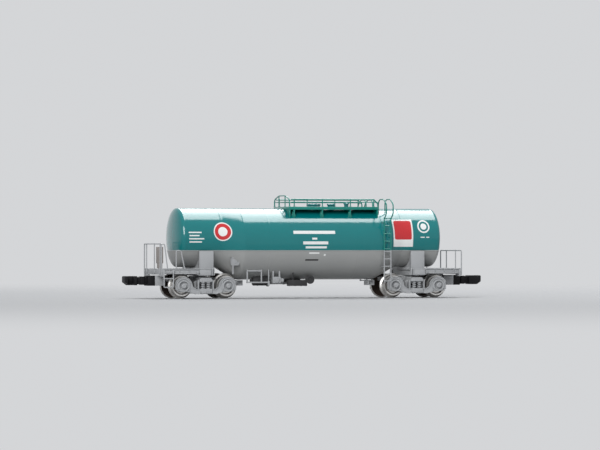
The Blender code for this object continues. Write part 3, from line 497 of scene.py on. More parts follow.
edges = []
for side in (-1, 1):
    outer, inner = (side * half, side * (half - 0.3)), (side * (half - 0.35), side * (half - 0.75))
    edges += blocks(
        ((start, end), outer, (top - 0.8, top)),
        ((start + 0.3, end - 0.3), inner, (top - 0.8, top - 0.6)),
        ((well_start, well_end), (side * well_half, side * (well_half + 0.2)), (top - 0.55, top)),
    )
for x in ((start, start + 0.3), (end - 0.3, end)):
    edges.append(block(x, about(0, half - 0.3), (top - 0.8, top)))
for x in ((well_start - 0.2, well_start), (well_end, well_end + 0.2)):
    edges.append(block(x, about(0, well_half + 0.2), (top - 0.55, top)))
for low, high, near, far in deck_strips(0.25, 0.25, 0.15, well_half + 0.15):
    edges.append(block((low, high), (near, far), (top - 0.3, top - 0.12)))
pieces = [eased(as_one(edges), 0.05)]
for low, high, near, far in deck_strips(0.3, 0.2, 0.1, well_half):
    count = int((high - low) / slat_pitch)
    step = (high - low) / count
    slat = block(about(low + step / 2, 0.07), (near, far), (top - 0.2, top - 0.02))
    pieces.append(row_of(eased(slat, 0.02, 1), count, (step, 0, 0)))
gussets = []
for x in bracket_places + [start + 0.3, end - 0.3]:
    for side in (-1, 1):
        outline = [(side * y, over_belly(y)) for y in [2.5 + (half - 2.62) * i / 12 for i in range(13)]]
        outline += [(side * (half - 0.12), top - 0.3), (side * 2.5, top - 0.3)]
        gussets.append(plate(outline, "X", x - 0.17, x + 0.17))
for x in bracket_places:
    for side in (-1, 1):
        for y in (half - 1.3, half - 0.85):
            low = over_belly(y + 0.45)
            outline = [(x - 0.6, low), (x - 0.25, low + 1.1), (x + 0.25, low + 1.1), (x + 0.6, low)]
            gussets.append(plate(outline, "Y", side * (y + 0.15), side * (y + 0.45)))
pieces.append(eased(as_one(gussets), 0.04))
settled(pieces, "walkway_frame", rail_green, "car", "tank_green", "walkway")

# Handrails round the walkway: drawn wire in the same green, flanged where a post stands on
# the deck and balled where a rail passes a post. The front end's rail rises to an arch.
rail_line, foot, crest = walkway_half - 0.2, walkway_top + 0.05, walkway_top + 1.95
middle_rail = foot + (crest - foot) * 0.62
rail_start, rail_end = walkway_start + 0.2, walkway_end - 0.2
post_radius, middle_radius = 0.15, 0.13


def ball(place, radius):
    """A small ball where wires cross."""
    bpy.ops.object.select_all(action="DESELECT")
    bpy.ops.mesh.primitive_uv_sphere_add(segments=10, ring_count=6, radius=radius, location=place)
    bpy.ops.object.transform_apply()
    return bpy.context.object


def post_foot(x, y, z, radius=0.3):
    """The small round flange that a post stands on."""
    return turned("Z", (x, y, z), [(0, radius), (0.08, radius), (0.14, radius * 0.8)], 12)


for side, name in ((-1, "near"), (1, "far")):
    y, first = side * rail_line, rail_start + 0.42
    rail = [(first, crest), (rail_end - 1.15, crest), (rail_end, crest - 1.1), (rail_end, foot)]
    pieces = [wire([(x, y, z) for x, z in rail])]
    pieces.append(wire([(first, y, middle_rail), (rail_end, y, middle_rail)], middle_radius))
    for x in bracket_places + [rail_end - 1.15]:
        pieces.append(wire([(x, y, foot), (x, y, crest)], post_radius))
        pieces += [ball((x, y, middle_rail), 0.2), ball((x, y, crest), 0.22), post_foot(x, y, foot)]
    settled(pieces, f"handrail_{name}_wires", rail_green, "car", "tank_green", f"handrail_{name}")
arch = walkway_half - 4.1
across = [(-rail_line, foot), (-rail_line, crest), (-arch, crest + 1.05)]
across += [(-y, z) for y, z in across[::-1]]
pieces = [wire([(rail_start, y, z) for y, z in across], 0.17, 0.9)]
pieces.append(wire([(rail_start, y, middle_rail) for y in (-rail_line, rail_line)], middle_radius))
for y in (-arch, arch):
    pieces.append(wire([(rail_start, y, foot), (rail_start, y, crest + 0.95)], post_radius))
for y in (-rail_line, -arch, arch, rail_line):
    pieces += [ball((rail_start, y, middle_rail), 0.2), post_foot(rail_start, y, foot)]
settled(pieces, "handrail_end_wires", rail_green, "car", "tank_green", "handrail_end")

# Ladders: wire stiles and rungs, in grey up to the paint line and green above it, where the
# stiles loop over as handholds and land on the walkway's end. Short arms hold them off the tank.
frame_grey = moulded("frame_grey", (0.385, 0.395, 0.405), 0.06, 0.42, 0.3, coat=0.15, coat_roughness=0.3)
ladder_x, ladder_y, ladder_foot = belly_half + 1.15, belly_radius + 0.35, 4.46
stiles, rung_pitch = about(ladder_x, 0.95), 1.95
hold, loop_top, deck_top = tank_top - 2.7, walkway_top + 2.0, 8.08


def beside_tank(x, z, gap=0.05):
    """How far from the middle a piece meets the tank's side, at a place and a height."""
    share = min(max((belly_half + cone_length - abs(x)) / cone_length, 0), 1)
    radius = end_radius + (belly_radius - end_radius) * share
    return math.sqrt(max((radius + gap) ** 2 - (z - (tank_top - radius)) ** 2, 0))


for side, name in ((-1, "near"), (1, "far")):
    y, landing = side * ladder_y, side * (walkway_half - 1.7)
    bulge = y + side * 1.8
    loop = [(y, paint_line + 0.05), (y, hold), (bulge, hold + 1.2), (bulge, loop_top - 1.3)]
    loop += [(y - side * 0.6, loop_top), (landing + side * 1.1, loop_top), (landing, loop_top - 0.9)]
    loop.append((landing, over_belly(abs(landing))))
    lower = [wire([(x, y, ladder_foot), (x, y, paint_line)]) for x in stiles]
    upper = [wire([(x, a, b) for a, b in loop], 0.17, 0.7) for x in stiles]
    halves = ((lower, ladder_foot + 0.17, paint_line - 0.35), (upper, paint_line + 0.35, hold))
    for pieces, low, high in halves:
        count = round((high - low) / rung_pitch)
        for i in range(count + 1):
            z = low + (high - low) * i / count
            pieces.append(wire([(x, y, z) for x in stiles], 0.14))
            pieces += [ball((x, y, z), 0.2) for x in stiles]
    arms = [(lower, deck_top + 0.45), (lower, paint_line - 1.3)]
    arms += [(upper, paint_line + 3.6), (upper, hold - 1.0)]
    for pieces, z in arms:
        for x in stiles:
            reach = (y, side * (beside_tank(x, z) + 0.02))
            pieces.append(eased(block(about(x, 0.1), reach, about(z, 0.12)), 0.03))
    settled(lower, f"ladder_lower_{name}_wires", frame_grey, "car", "frame_grey", f"ladder_lower_{name}")
    settled(upper, f"ladder_upper_{name}_wires", rail_green, "car", "tank_green", f"ladder_upper_{name}")

# End frames: a decked platform on channel sills between the end beam and the bolster, with
# the saddle that the tank lies in. Each is one light grey moulding, the front one the same
# as the rear one turned half round.
beam_x, deck_half, deck_thickness = 42.4, 8.5, 0.45
bolster_low, sill_low = 6.13, deck_top - 1.45
pivot_x, under_deck = 30.0, deck_top - deck_thickness
frame_inner, frame_outer = pivot_x - 2.15, pivot_x + 2.0
notch_half, notch_top = 5.5, 6.455


def turned_round(obj):
    """A copy of a rear-end piece, turned half round for the front end."""
    only(obj)
    bpy.ops.object.duplicate()
    twin = bpy.context.object
    bpy.ops.transform.rotate(value=math.pi, orient_axis="Z", center_override=(0, 0, 0))
    bpy.ops.object.transform_apply()
    return twin


def both_ends(pieces, name, look, body, slot, *nodes):
    """Settles a rear-end piece and its half-turned copy. %s in names stands for the end."""
    rear = as_one(pieces)
    front = turned_round(rear)
    for obj, end in ((rear, "rear"), (front, "front")):
        carrier = body % end if "%" in body else body
        settled([obj], name % end, look, carrier, slot, *[node % end for node in nodes])


def cut(obj, *cutters):
    """Cuts shapes out of an object, and removes them."""
    for cutter in cutters:
        modified(obj, "BOOLEAN", operation="DIFFERENCE", solver="EXACT", object=cutter)
        bpy.data.objects.remove(cutter)
    return obj


webs = []
sill_end = beam_x - 0.5
web_outline = [(frame_inner, deck_top - 0.05), (frame_inner, bolster_low + 0.05)]
web_outline += [(frame_outer, bolster_low + 0.05), (frame_outer + 1.0, sill_low), (sill_end, sill_low)]
web_outline.append((sill_end, deck_top - 0.05))
for side in (-1, 1):
    outer = side * deck_half
    webs.append(plate(web_outline, "Y", outer - side * 0.4, outer - side * 0.55))
    webs += blocks(
        ((frame_inner, beam_x - 0.3), (outer, outer - side * 0.8), (deck_top - 0.25, deck_top)),
        ((frame_outer + 0.95, beam_x - 0.3), (outer, outer - side * 0.95), (sill_low, sill_low + 0.22)),
    )
    for x in (34.9, 37.6, 40.3):
        stiffener = (outer - side * 0.12, outer - side * 0.5)
        webs.append(block(about(x, 0.09), stiffener, (sill_low, deck_top - 0.1)))
    cover = (outer - side * 0.3, outer + side * 0.12)
    webs.append(block((frame_inner + 0.9, frame_outer), cover, (bolster_low + 0.15, deck_top - 0.3)))
    for x in (frame_inner + 0.15, frame_inner + 0.65):
        webs.append(block(about(x, 0.12), about(outer, 0.3), (bolster_low + 0.15, deck_top + 0.1)))
    webs += blocks(
        ((pivot_x + 1.5, beam_x - 0.4), (side * 2.6, side * 3.1), (under_deck - 0.6, under_deck + 0.1)),
        ((sill_end, beam_x), (side * notch_half, outer), (bolster_low - 0.2, notch_top + 0.1)),
    )
webs += blocks(
    ((frame_inner, beam_x - 0.2), about(0, deck_half - 0.3), (under_deck, deck_top - 0.1)),
    (about(pivot_x, 1.7), about(0, deck_half - 0.25), (bolster_low, under_deck + 0.1)),
    ((sill_end, beam_x), about(0, deck_half), (notch_top, deck_top)),
)
end_frame = [eased(as_one(webs), 0.05)]
for side in (-1, 1):
    for x in (frame_inner + 1.2, frame_inner + 2.2, frame_outer - 0.3):
        for z in (bolster_low + 0.4, deck_top - 0.55):
            end_frame.append(bolt_head("Y", (x, side * (deck_half + 0.12), z), side * 0.07, side * 0.1))
    boss = [(0, 0.36), (side * 0.22, 0.36), (side * 0.28, 0.3), (side * 0.28, 0.16), (side * 0.12, 0.14)]
    end_frame.append(turned("Y", (frame_outer + 0.45, side * (deck_half - 0.1), sill_low + 0.45), boss, 20))
    for y in (4.1, 5.0, 6.4, 7.3):
        for z in (notch_top + 0.3, deck_top - 0.35):
            end_frame.append(bolt_head("X", (beam_x, side * y, z), 0.07, 0.1))

# The saddle: side plates with edge flanges, and two webs curved to the tank, on a base plate
low, high, outer = frame_inner + 0.15, frame_outer, deck_half - 0.6
foot, crown = deck_top - 0.1, paint_line - 0.15
saddle = [block((low, high), about(0, outer - 0.1), (foot, deck_top + 0.25))]
tank_axis, rest_radius = tank_top - end_radius, end_radius + 0.04
rise = math.degrees(math.asin((tank_axis - crown + 0.2) / rest_radius))
web = [(0.2 - outer, crown - 0.2), (0.2 - outer, foot), (outer - 0.2, foot), (outer - 0.2, crown - 0.2)]
web += arc(0, tank_axis, rest_radius, -rise, rise - 180, 30)
for x in (low + 0.7, high - 0.7):
    saddle.append(plate(web, "X", x - 0.22, x + 0.22))
for side in (-1, 1):
    saddle.append(block((low, high), (side * outer, side * (outer - 0.4)), (foot, crown)))
    for x in ((low, low + 0.24), (high - 0.24, high)):
        saddle.append(block(x, (side * (outer + 0.05), side * (outer - 0.7)), (foot, crown)))
end_frame.append(eased(as_one(saddle), 0.05))
both_ends(end_frame, "end_frame_%s_moulding", frame_grey, "car", "frame_grey", "end_frame_%s")

# The decks' tread plates, with a raised diamond pattern
tread_grey = moulded("tread_grey", (0.385, 0.395, 0.405), 0.06, 0.5, 0.3)
nodes, links = tread_grey.node_tree.nodes, tread_grey.node_tree.links
studs = added(nodes, "Math", operation="MULTIPLY")
for i, angle in enumerate((45, -45)):
    aligned = added(nodes, "Mapping", {"Rotation": (0, 0, math.radians(angle))})
    waves = added(nodes, "TexWave", {"Scale": 700})
    links.new(nodes["Texture Coordinate"].outputs["Object"], aligned.inputs["Vector"])
    links.new(aligned.outputs["Vector"], waves.inputs["Vector"])
    links.new(waves.outputs["Fac"], studs.inputs[i])
raised = added(nodes, "Bump", {"Strength": 0.8, "Distance": 0.00008})
links.new(studs.outputs[0], raised.inputs["Height"])
links.new(nodes["Bump"].outputs["Normal"], raised.inputs["Normal"])
links.new(raised.outputs["Normal"], nodes["Principled BSDF"].inputs["Normal"])
level = (deck_top - 0.15, deck_top - 0.03)
tread = eased(block((frame_outer + 0.3, beam_x - 0.55), about(0, deck_half - 0.85), level), 0.03, 1)
both_ends([tread], "tread_plate_%s", tread_grey, "car", "frame_grey")

# End railings: soldered wire, low at the rear and tall at the front, where one corner is
# braced. Their corner posts run down the end beam's face.
rail_x = beam_x + 0.22


def end_railing(height, posts, braced):
    """The railing along the rear end beam, of a height and with posts at places across it."""
    corner, crest = deck_half - 0.25, deck_top + height
    outline = ((-corner, deck_top - 1.9), (-corner, crest), (corner, crest), (corner, deck_top - 1.9))
    pieces = [wire([(rail_x, y, z) for y, z in outline], 0.17, 0.45)]
    for y in posts:
        pieces.append(wire([(rail_x, y, deck_top - 1.2), (rail_x, y, crest)], post_radius))
        pieces.append(ball((rail_x, y, crest), 0.21))
    for y in (-corner, *posts, corner):
        pieces.append(eased(block((rail_x - 0.2, rail_x + 0.12), about(y, 0.24), (7.1, 7.5)), 0.04))
    if braced:
        brace = [(rail_x, crest - 0.1), (rail_x - 0.9, crest - 0.1), (rail_x - 1.7, deck_top + 0.12)]
        pieces.append(wire([(x, corner, z) for x, z in brace], post_radius))
        pieces.append(post_foot(rail_x - 1.7, corner - 0.05, deck_top + 0.05, 0.27))
    return pieces


rear_rail = end_railing(4.8, (-3.6, 3.6), False)
settled(rear_rail, "platform_rail_rear_wires", frame_grey, "car", "frame_grey", "platform_rail_rear")
drawn_rail = as_one(end_railing(6.6, (-6.1, 1.5, 7.0), True))
front_rail = turned_round(drawn_rail)
bpy.data.objects.remove(drawn_rail)
settled([front_rail], "platform_rail_front_wires", frame_grey, "car", "frame_grey", "platform_rail_front")

# Steps and side grabs: a stirrup of bent wire hung from the deck's edge by two ears, and a
# handhold over it. There is one of each at an end, at opposite corners of the car.
step_y, step_low, step_high = deck_half + 0.22, deck_top - 5.0, deck_top - 0.4
inner, outer = beam_x - 3.0, beam_x - 0.4
stirrup = [(inner, step_high), (inner, step_low), (outer, step_low), (outer, step_high)]
steps = [wire([(x, step_y, z) for x, z in stirrup])]
for z in (step_low + 2.3, step_high - 0.6):
    steps.append(wire([(x, step_y, z) for x in (inner, outer)], post_radius))
    steps += [ball((x, step_y, z), 0.2) for x in (inner, outer)]
for x in (inner, outer):
    ear = (step_y + 0.17, deck_half + 0.03)
    steps.append(eased(block(about(x, 0.22), ear, (step_high - 1.0, step_high + 0.1))))
both_ends(steps, "steps_%s_wires", frame_grey, "car", "frame_grey", "steps_%s")
grab_y, grab_top = deck_half - 0.25, deck_top + 4.8
grab = [(3.9, deck_top + 0.05), (3.9, grab_top), (5.2, grab_top), (6.2, deck_top + 0.1)]
grab = [wire([(beam_x - inward, grab_y, z) for inward, z in grab], 0.17, 0.5)]
grab += [post_foot(beam_x - inward, grab_y, deck_top + 0.05, 0.27) for inward in (3.9, 6.2)]
both_ends(grab, "side_grab_%s_wire", frame_grey, "car", "frame_grey", "side_grab_%s")

# Handbrake: a flat case with louvres on the front deck, between two railing posts, on a leg.
brake_brown = moulded("handbrake_brown", (0.36, 0.33, 0.31), 0.1, 0.5, 0.3)
low, high = corners_mm("handbrake_case")
case = blocks(
    ((low.x, low.x + 0.6), (low.y, high.y), (deck_top + 1.4, high.z)),
    ((low.x + 0.1, low.x + 0.5), (low.y + 0.5, high.y - 0.5), (deck_top + 0.05, deck_top + 1.5)),
    ((low.x + 0.5, high.x), (low.y + 0.75, high.y - 0.75), (deck_top + 2.2, deck_top + 5.0)),
)
pieces = [eased(as_one(case), 0.08)]
for face, turn in ((low.x, -1), (high.x, 1)):
    across = (low.y + 1.1, high.y - 1.1)
    louvre = block((face - 0.02, face + 0.06 * turn), across, (deck_top + 2.5, deck_top + 2.72))
    pieces.append(row_of(eased(louvre, 0.03, 1), 6, (0, 0, 0.42)))
settled(pieces, "handbrake_case_louvred", brake_brown, "car", "frame_grey", "handbrake_case")

# Selector panel: a framed tray over the front bogie with the changeover dial in it, on a
# bracket welded to the tank's cone, with its shaft running down to the bogie.
x, low, high = -belly_half - 2.4, deck_top + 0.8, deck_top + 3.0
y = corners_mm("selector_panel")[0].y
dial_z, rim = (low + high) / 2, (y, y + 0.4)
tray = blocks(
    (about(x, 1.2), (y + 0.2, y + 0.45), (low, high)),
    ((x - 1.2, x - 0.95), rim, (low, high)),
    ((x + 0.95, x + 1.2), rim, (low, high)),
    (about(x, 1.2), rim, (low, low + 0.25)),
    (about(x, 1.2), rim, (high - 0.25, high)),
    (about(x, 0.5), (y + 0.4, -6.0), (low + 0.5, low + 1.3)),
    (about(x, 0.07), (y - 0.03, y + 0.15), (dial_z - 0.1, dial_z + 0.6)),
)
pieces = [eased(as_one(tray), 0.05)]
dial = [(0, 0.55), (-0.08, 0.55), (-0.12, 0.5), (-0.12, 0.2), (-0.2, 0.16)]
pieces.append(turned("Y", (x, y + 0.2, dial_z), dial, 24))
pieces.append(wire([(x - 0.5, y + 0.25, low + 0.2), (x - 0.5, y + 0.25, 6.55)], 0.2))
pieces.append(turned("Z", (x - 0.5, y + 0.25, 6.9), [(-0.2, 0.24), (0.2, 0.24)], 12))
settled(pieces, "selector_panel_tray", frame_grey, "car", "frame_grey", "selector_panel")

# Guard frame: an open frame of flat bar under the near side of the belly, its lower bar
# carried on to a foot. The posts end in the belly's skin.
belly_low = tank_top - 2 * belly_radius


def under_belly(y):
    """The height at which a hanger enters the underside of the belly."""
    return tank_top - belly_radius - math.sqrt(belly_radius**2 - y**2) + 0.3


start, y = -belly_half + 1.35, -belly_radius * 0.68
posts, bars, skin = (start, start + 4.0), (belly_low - 0.7, belly_low + 2.4), under_belly(y)
guard = [block(about(x, 0.18), about(y, 0.18), (belly_low - 0.9, skin)) for x in posts]
guard += [block((start - 0.18, start + 4.18), about(y, 0.2), about(z, 0.18)) for z in bars]
guard += blocks(
    ((start + 4.1, start + 6.2), about(y, 0.18), about(bars[0], 0.18)),
    ((start + 5.8, start + 6.3), about(y, 0.3), (belly_low - 1.6, belly_low - 0.4)),
    ((start + 5.92, start + 6.18), about(y, 0.18), (belly_low - 0.6, skin)),
)
pieces = [eased(as_one(guard), 0.05)]
pieces += [bolt_head("Y", (x, y - 0.18, z), -0.08, -0.11, 0.12, 0.08) for x in posts for z in bars]
settled(pieces, "guard_frame_bars", frame_grey, "car", "frame_grey", "guard_frame")

# Brake cylinder: a dark drum with a bolted end cover and a push rod, on a hanger
underfloor_dark = moulded("underfloor_dark", (0.05, 0.05, 0.052), 0.15, 0.5, 0.3)
x, y, z = -belly_half + 6.0, -belly_radius * 0.36, belly_low - 0.3
drum = [(-2.9, 0.3), (-2.86, 0.42), (-2.3, 0.45), (-2.28, 0.9), (-2.1, 1.22), (-1.95, 1.3), (-0.9, 1.3)]
drum += [(-0.88, 1.36), (-0.7, 1.36), (-0.68, 1.3), (1.88, 1.3), (1.9, 1.52), (1.95, 1.55), (2.25, 1.55)]
drum += [(2.3, 1.5), (2.34, 1.2), (2.6, 0.85)]
pieces = [turned("X", (x, y, z), drum, 36)]
pieces += ring_of_bolts("X", (x + 2.28, y, z), 1.38, 10)
hanger = block((x - 1.6, x + 1.4), about(y, 0.85), (z, under_belly(y + 0.85) + 0.3))
pieces.append(eased(hanger, 0.08))
settled(pieces, "brake_cylinder_drum", underfloor_dark, "car", "underfloor_dark", "brake_cylinder")

# Control valve: a grey body with round bolted covers, slung from a forked bracket
x, y, z = -belly_half + 9.7, -belly_radius * 0.62, belly_low
valve = [block(about(x, 1.1), about(y, 0.85), (z - 1.0, z + 0.8))]
valve += [block(about(prong, 0.18), about(y, 0.5), (z, under_belly(y))) for prong in about(x, 0.9)]
pieces = [eased(as_one(valve), 0.12, 3)]
cover = [(0.3, 0.78), (-0.22, 0.78), (-0.3, 0.7), (-0.3, 0.35), (-0.42, 0.3)]
pieces.append(turned("Y", (x - 0.1, y - 0.8, z - 0.1), cover, 28))
pieces += ring_of_bolts("Y", (x - 0.1, y - 1.1, z - 0.1), 0.56, 6, 0.09, -0.08)
cover = [(0, 0.62), (1.25, 0.62), (1.38, 0.5), (1.38, 0.2)]
pieces.append(turned("X", (x + 0.7, y + 0.1, z - 0.2), cover, 28))
settled(pieces, "control_valve_body", frame_grey, "car", "frame_grey", "control_valve")

# Discharge valve: a sump at the belly's lowest line, a box of pipework out to the near
# side, and the outlet's flanged neck with its hand rod
y, z = -belly_radius * 0.57, belly_low
works = blocks(
    ((-4.6, -2.0), (y, 0), (z - 1.5, z - 0.2)),
    ((-6.3, -1.0), (y - 0.6, y + 1.1), (z - 1.7, z - 0.1)),
    ((-1.2, -0.3), (y - 0.2, y + 0.5), (z - 0.8, z + 0.25)),
)
for x in (-5.9, -4.2, -2.5, -1.3):
    works.append(block(about(x, 0.09), (y - 0.68, y + 1.15), (z - 1.74, z - 0.06)))
pieces = [eased(as_one(works), 0.07)]
sump = [(-0.8, 1.9), (-0.75, 2.3), (-0.35, 2.35), (-0.3, 2.2), (0.55, 2.2)]
pieces.append(turned("Z", (-3.3, 0, z), sump, 36))
pieces.append(wire([(-4.9, y - 0.1, z - 0.5), (-4.9, y - 0.1, under_belly(y))], 0.22))
pieces.append(turned("Z", (-4.9, y - 0.1, z + 0.4), [(0, 0.38), (0.12, 0.38), (0.18, 0.3)], 16))
neck = [(1.6, 0.7), (-0.18, 0.74), (-0.2, 1.1), (-0.24, 1.15), (-0.56, 1.15), (-0.6, 1.1), (-0.6, 0.62)]
neck.append((-0.4, 0.5))
pieces.append(turned("Y", (-0.2, y - 0.3, z), neck, 32))
pieces += ring_of_bolts("Y", (-0.2, y - 0.9, z), 0.9, 8, 0.1, -0.08)
settled(pieces, "discharge_valve_works", underfloor_dark, "car", "underfloor_dark", "discharge_valve")

# Air reservoir: a long tank with dished ends on the far side, held by two straps
x, y, z = -7.0, belly_radius * 0.5, belly_low
vessel = [(-4.6, 0.3), (-4.55, 0.7), (-4.4, 1.02), (-4.15, 1.25), (-3.9, 1.33), (-3.85, 1.35), (3.85, 1.35)]
vessel += [(-d, r) for d, r in vessel[-3::-1]]
pieces = [turned("X", (x, y, z), vessel, 36)]
for strap in about(x, 2.8):
    pieces.append(turned("X", (strap, y, z), [(-0.22, 1.3), (-0.2, 1.42), (0.2, 1.42), (0.22, 1.3)], 36))
    pieces.append(eased(block(about(strap, 0.22), about(y, 0.6), (z, under_belly(y + 0.6))), 0.05))
settled(pieces, "air_reservoir_vessel", frame_grey, "car", "frame_grey", "air_reservoir")

# Bogie frames: a cast side frame each side that arches over the axleboxes and dips under
# a nest of coil springs, joined by a transom, with the coupler's pocket on the long end.
# They are drawn at the rear end, in the same grey as the end frames.
axle_z, half_base, arch_radius = 3.4, 6.2, 2.45
flange_radius, brake_gap = 3.4, 0.3
frame_face, side_face, bogie_top = 6.6, 7.7, 6.05
spring_low, spring_high = axle_z - 0.8, bogie_top - 1.55
spring_radius, spring_turns, turn_steps = 0.47, 3.5, 14
coupler_x, coupler_z = 42.3, 4.83
c = pivot_x
axle_places = about(c, half_base)


def side_frame(side):
    """One side frame with its raised rim, ribs, bearing caps, springs and bolster end."""
    outer, dip = side * side_face, axle_z - 2.15
    right = [(c + half_base + a, axle_z + b) for a, b in arc(0, 0, arch_radius, 28, 160, 18)]
    right = [(right[0][0], axle_z - 1.0)] + right
    right += [(c + half_base - arch_radius - 0.15, axle_z - 0.2), (c + 2.7, dip + 1.35)]
    left = [(2 * c - x, z) for x, z in right[::-1]]
    foot = [(c - half_base - 0.9, axle_z - 1.55), (c - half_base + 0.9, axle_z - 1.55), (c - 2.9, dip)]
    foot += [(2 * c - x, z) for x, z in foot[::-1]]
    casting = plate(right + left + foot, "Y", side * frame_face, outer)
    only(casting)
    bpy.ops.object.mode_set(mode="EDIT")
    bpy.ops.mesh.select_mode(type="FACE")
    bpy.ops.mesh.select_all(action="DESELECT")
    bpy.ops.object.mode_set(mode="OBJECT")
    for face in casting.data.polygons:
        face.select = face.normal.y * side > 0.9
    bpy.ops.object.mode_set(mode="EDIT")
    bpy.ops.mesh.inset(thickness=0.2, use_even_offset=True)
    bpy.ops.mesh.extrude_region_move(TRANSFORM_OT_translate={"value": (0, -0.14 * side, 0)})
    bpy.ops.object.mode_set(mode="OBJECT")
    socket = [(side * -0.5, 1.2), (side * 0.5, 1.2)]
    recesses = [turned("Y", (x, outer, axle_z), socket, 40) for x in axle_places]
    flat = [cut(eased(casting, 0.06), *recesses)]
    bars = []
    for x in axle_places:
        rib = arc(x, axle_z, arch_radius - 0.32, 20, 160, 14)
        rib += arc(x, axle_z, arch_radius - 0.62, 160, 20, 12)
        bars.append(plate(rib, "Y", outer - side * 0.3, outer + side * 0.12))
        for guide in about(x, 1.62):
            depth = (outer - side * 0.3, outer + side * 0.1)
            bars.append(block(about(guide, 0.13), depth, (axle_z - 1.45, axle_z + 0.9)))
    seat = (side * (frame_face - 0.2), outer + side * 0.25)
    bars.append(block(about(c, 1.7), seat, (dip + 0.15, spring_low + 0.05)))
    for x in (c - 1.5, c, c + 1.5):
        bars.append(block(about(x, 0.1), (outer, outer + side * 0.32), (dip + 0.2, spring_low - 0.1)))
    cap = [(-1.8, spring_high), (1.8, spring_high), (1.8, spring_high + 0.6), (1.3, bogie_top - 0.45)]
    cap += [(-1.3, bogie_top - 0.45), (-1.8, spring_high + 0.6)]
    cap = [(c + x, z) for x, z in cap]
    bars.append(plate(cap, "Y", side * (frame_face - 0.6), outer + side * 0.1))
    for x in about(c, 2.05):
        depth = (side * (frame_face + 0.2), outer - side * 0.1)
        bars.append(block(about(x, 0.16), depth, (dip + 1.0, spring_high + 0.5)))
    flat.append(eased(as_one(bars), 0.05))
    for x in axle_places:
        bearing = [(-0.55, 1.62), (0.1, 1.62), (0.17, 1.55), (0.2, 1.3), (0.15, 1.22), (-0.46, 1.14)]
        bearing += [(-0.48, 0.66), (0.34, 0.64), (0.44, 0.56), (0.47, 0.46), (0.47, 0.2), (0.4, 0.15)]
        flat.append(turned("Y", (x, outer, axle_z), [(side * d, r) for d, r in bearing], 40))
        for a, b in arc(x, axle_z, 1.43, 90, 330, 2):
            flat.append(bolt_head("Y", (a, outer + side * 0.15, b), side * 0.08, side * 0.11))
    for x in about(c, 0.75):
        centre_y, coil, steps = side * 7.2, [], spring_turns * turn_steps
        for i in range(int(steps) + 1):
            angle = math.tau * i / turn_steps
            height = spring_low + 0.05 + (spring_high - spring_low - 0.1) * i / steps
            across = centre_y + spring_radius * math.sin(angle)
            coil.append((x + spring_radius * math.cos(angle), across, height))
        flat.append(wire(coil, 0.14, 0, 8))
        flat.append(turned("Z", (x, centre_y, 0), [(spring_low, 0.26), (spring_high, 0.26)], 12))
    return flat


def brake_gear(end):
    """A beam across on two hangers, with a curved shoe before each wheel of one axle."""
    axle, near = c + end * half_base, flange_radius + brake_gap
    shoe = arc(axle, axle_z, near, 90 + end * 72, 90 + end * 104, 6)
    shoe += arc(axle, axle_z, near + 0.42, 90 + end * 104, 90 + end * 72, 6)
    x, z = axle - end * (near + 0.45), axle_z - 0.4
    pieces = [block((x - end * 0.35, x + end * 0.2), about(0, 5.1), about(z, 0.22))]
    for side in (-1, 1):
        pieces.append(plate(shoe, "Y", side * 3.95, side * 5.35))
        pieces.append(block((x - end * 0.7, x + end * 0.1), (side * 4.2, side * 4.6), (z, 4.9)))
    return eased(as_one(pieces), 0.04)


def bore(x, z, radius, sides):
    """A cutter for an upright hole on the middle line, 3 mm each way from a height."""
    return turned("Z", (x, 0, z), [(-3, radius), (3, radius)], sides)


middle = blocks(
    (about(c, 1.55), about(0, 6.45), (bogie_top - 2.0, 5.75)),
    ((c - half_base - 2, coupler_x - 2.4), about(0, 1.7), (4.62, 5.68)),
    ((c - 12.1, c - half_base - 1.3), about(0, 1.15), (3.65, 4.75)),
    ((c - 12.1, c - 10.3), about(0, 1.85), (3.45, 4.9)),
)
hollows = [block((c - 11.85, c - 10.55), y, (3.7, 4.65)) for y in ((-2.5, -0.95), (0.95, 2.5))]
bogie = [cut(eased(as_one(middle), 0.08), bore(c, 5, 1.28, 32), *hollows)]
centre_plate = turned("Z", (c, 0, bogie_top), [(-1.2, 2.5), (-0.1, 2.55), (0, 2.45)], 40)
bogie.append(cut(centre_plate, bore(c, 5, 1.28, 32)))
pocket_mouth = ((coupler_x - 1.5, coupler_x + 4), about(0, 1.5), about(coupler_z, 1.08))
pocket = block((coupler_x - 2.55, coupler_x + 0.3), about(0, 2.05), about(coupler_z, 1.36))
bogie.append(eased(cut(pocket, block(*pocket_mouth)), 0.06))
bogie.append(turned("Z", (coupler_x, 0, coupler_z), [(-1.2, 0.49), (1.2, 0.49)], 20))
bogie += side_frame(-1) + side_frame(1) + [brake_gear(-1), brake_gear(1)]
both_ends(bogie, "bogie_%s_casting", frame_grey, "bogie_%s", "frame_grey", "bogie_frame_%s")

# Kingpins, black moulded pins that hold the bogies up to the bolsters, and sleeves at the
# mouths of the couplers' pockets, whose black is painted shade for the shadow there.
coupler_black = moulded("coupler_black", (0.014, 0.014, 0.015), 0.2, 0.42, 0.4)
# The sleeve's black is painted shade: it darkens the pocket's mouth, where the shadow falls.
shade_sleeve = block((coupler_x + 0.3, coupler_x + 2.18), about(0, 2.08), about(coupler_z, 1.37))
shade_sleeve = eased(cut(shade_sleeve, block(*pocket_mouth)), 0.07)
both_ends([shade_sleeve], "coupler_sleeve_%s", coupler_black, "bogie_%s", "coupler_black")
low = bogie_top - 2.13
pin = [(low - 0.5, 1.4), (low - 0.45, 1.55), (low - 0.2, 1.85), (low - 0.02, 1.85), (low - 0.01, 1.18)]
pin += [(bolster_low + 1.2, 1.18), (bolster_low + 1.5, 0.8)]
pin = turned("Z", (c, 0, 0), pin)
both_ends([pin], "kingpin_%s_pin", coupler_black, "car", "coupler_black", "kingpin_%s")

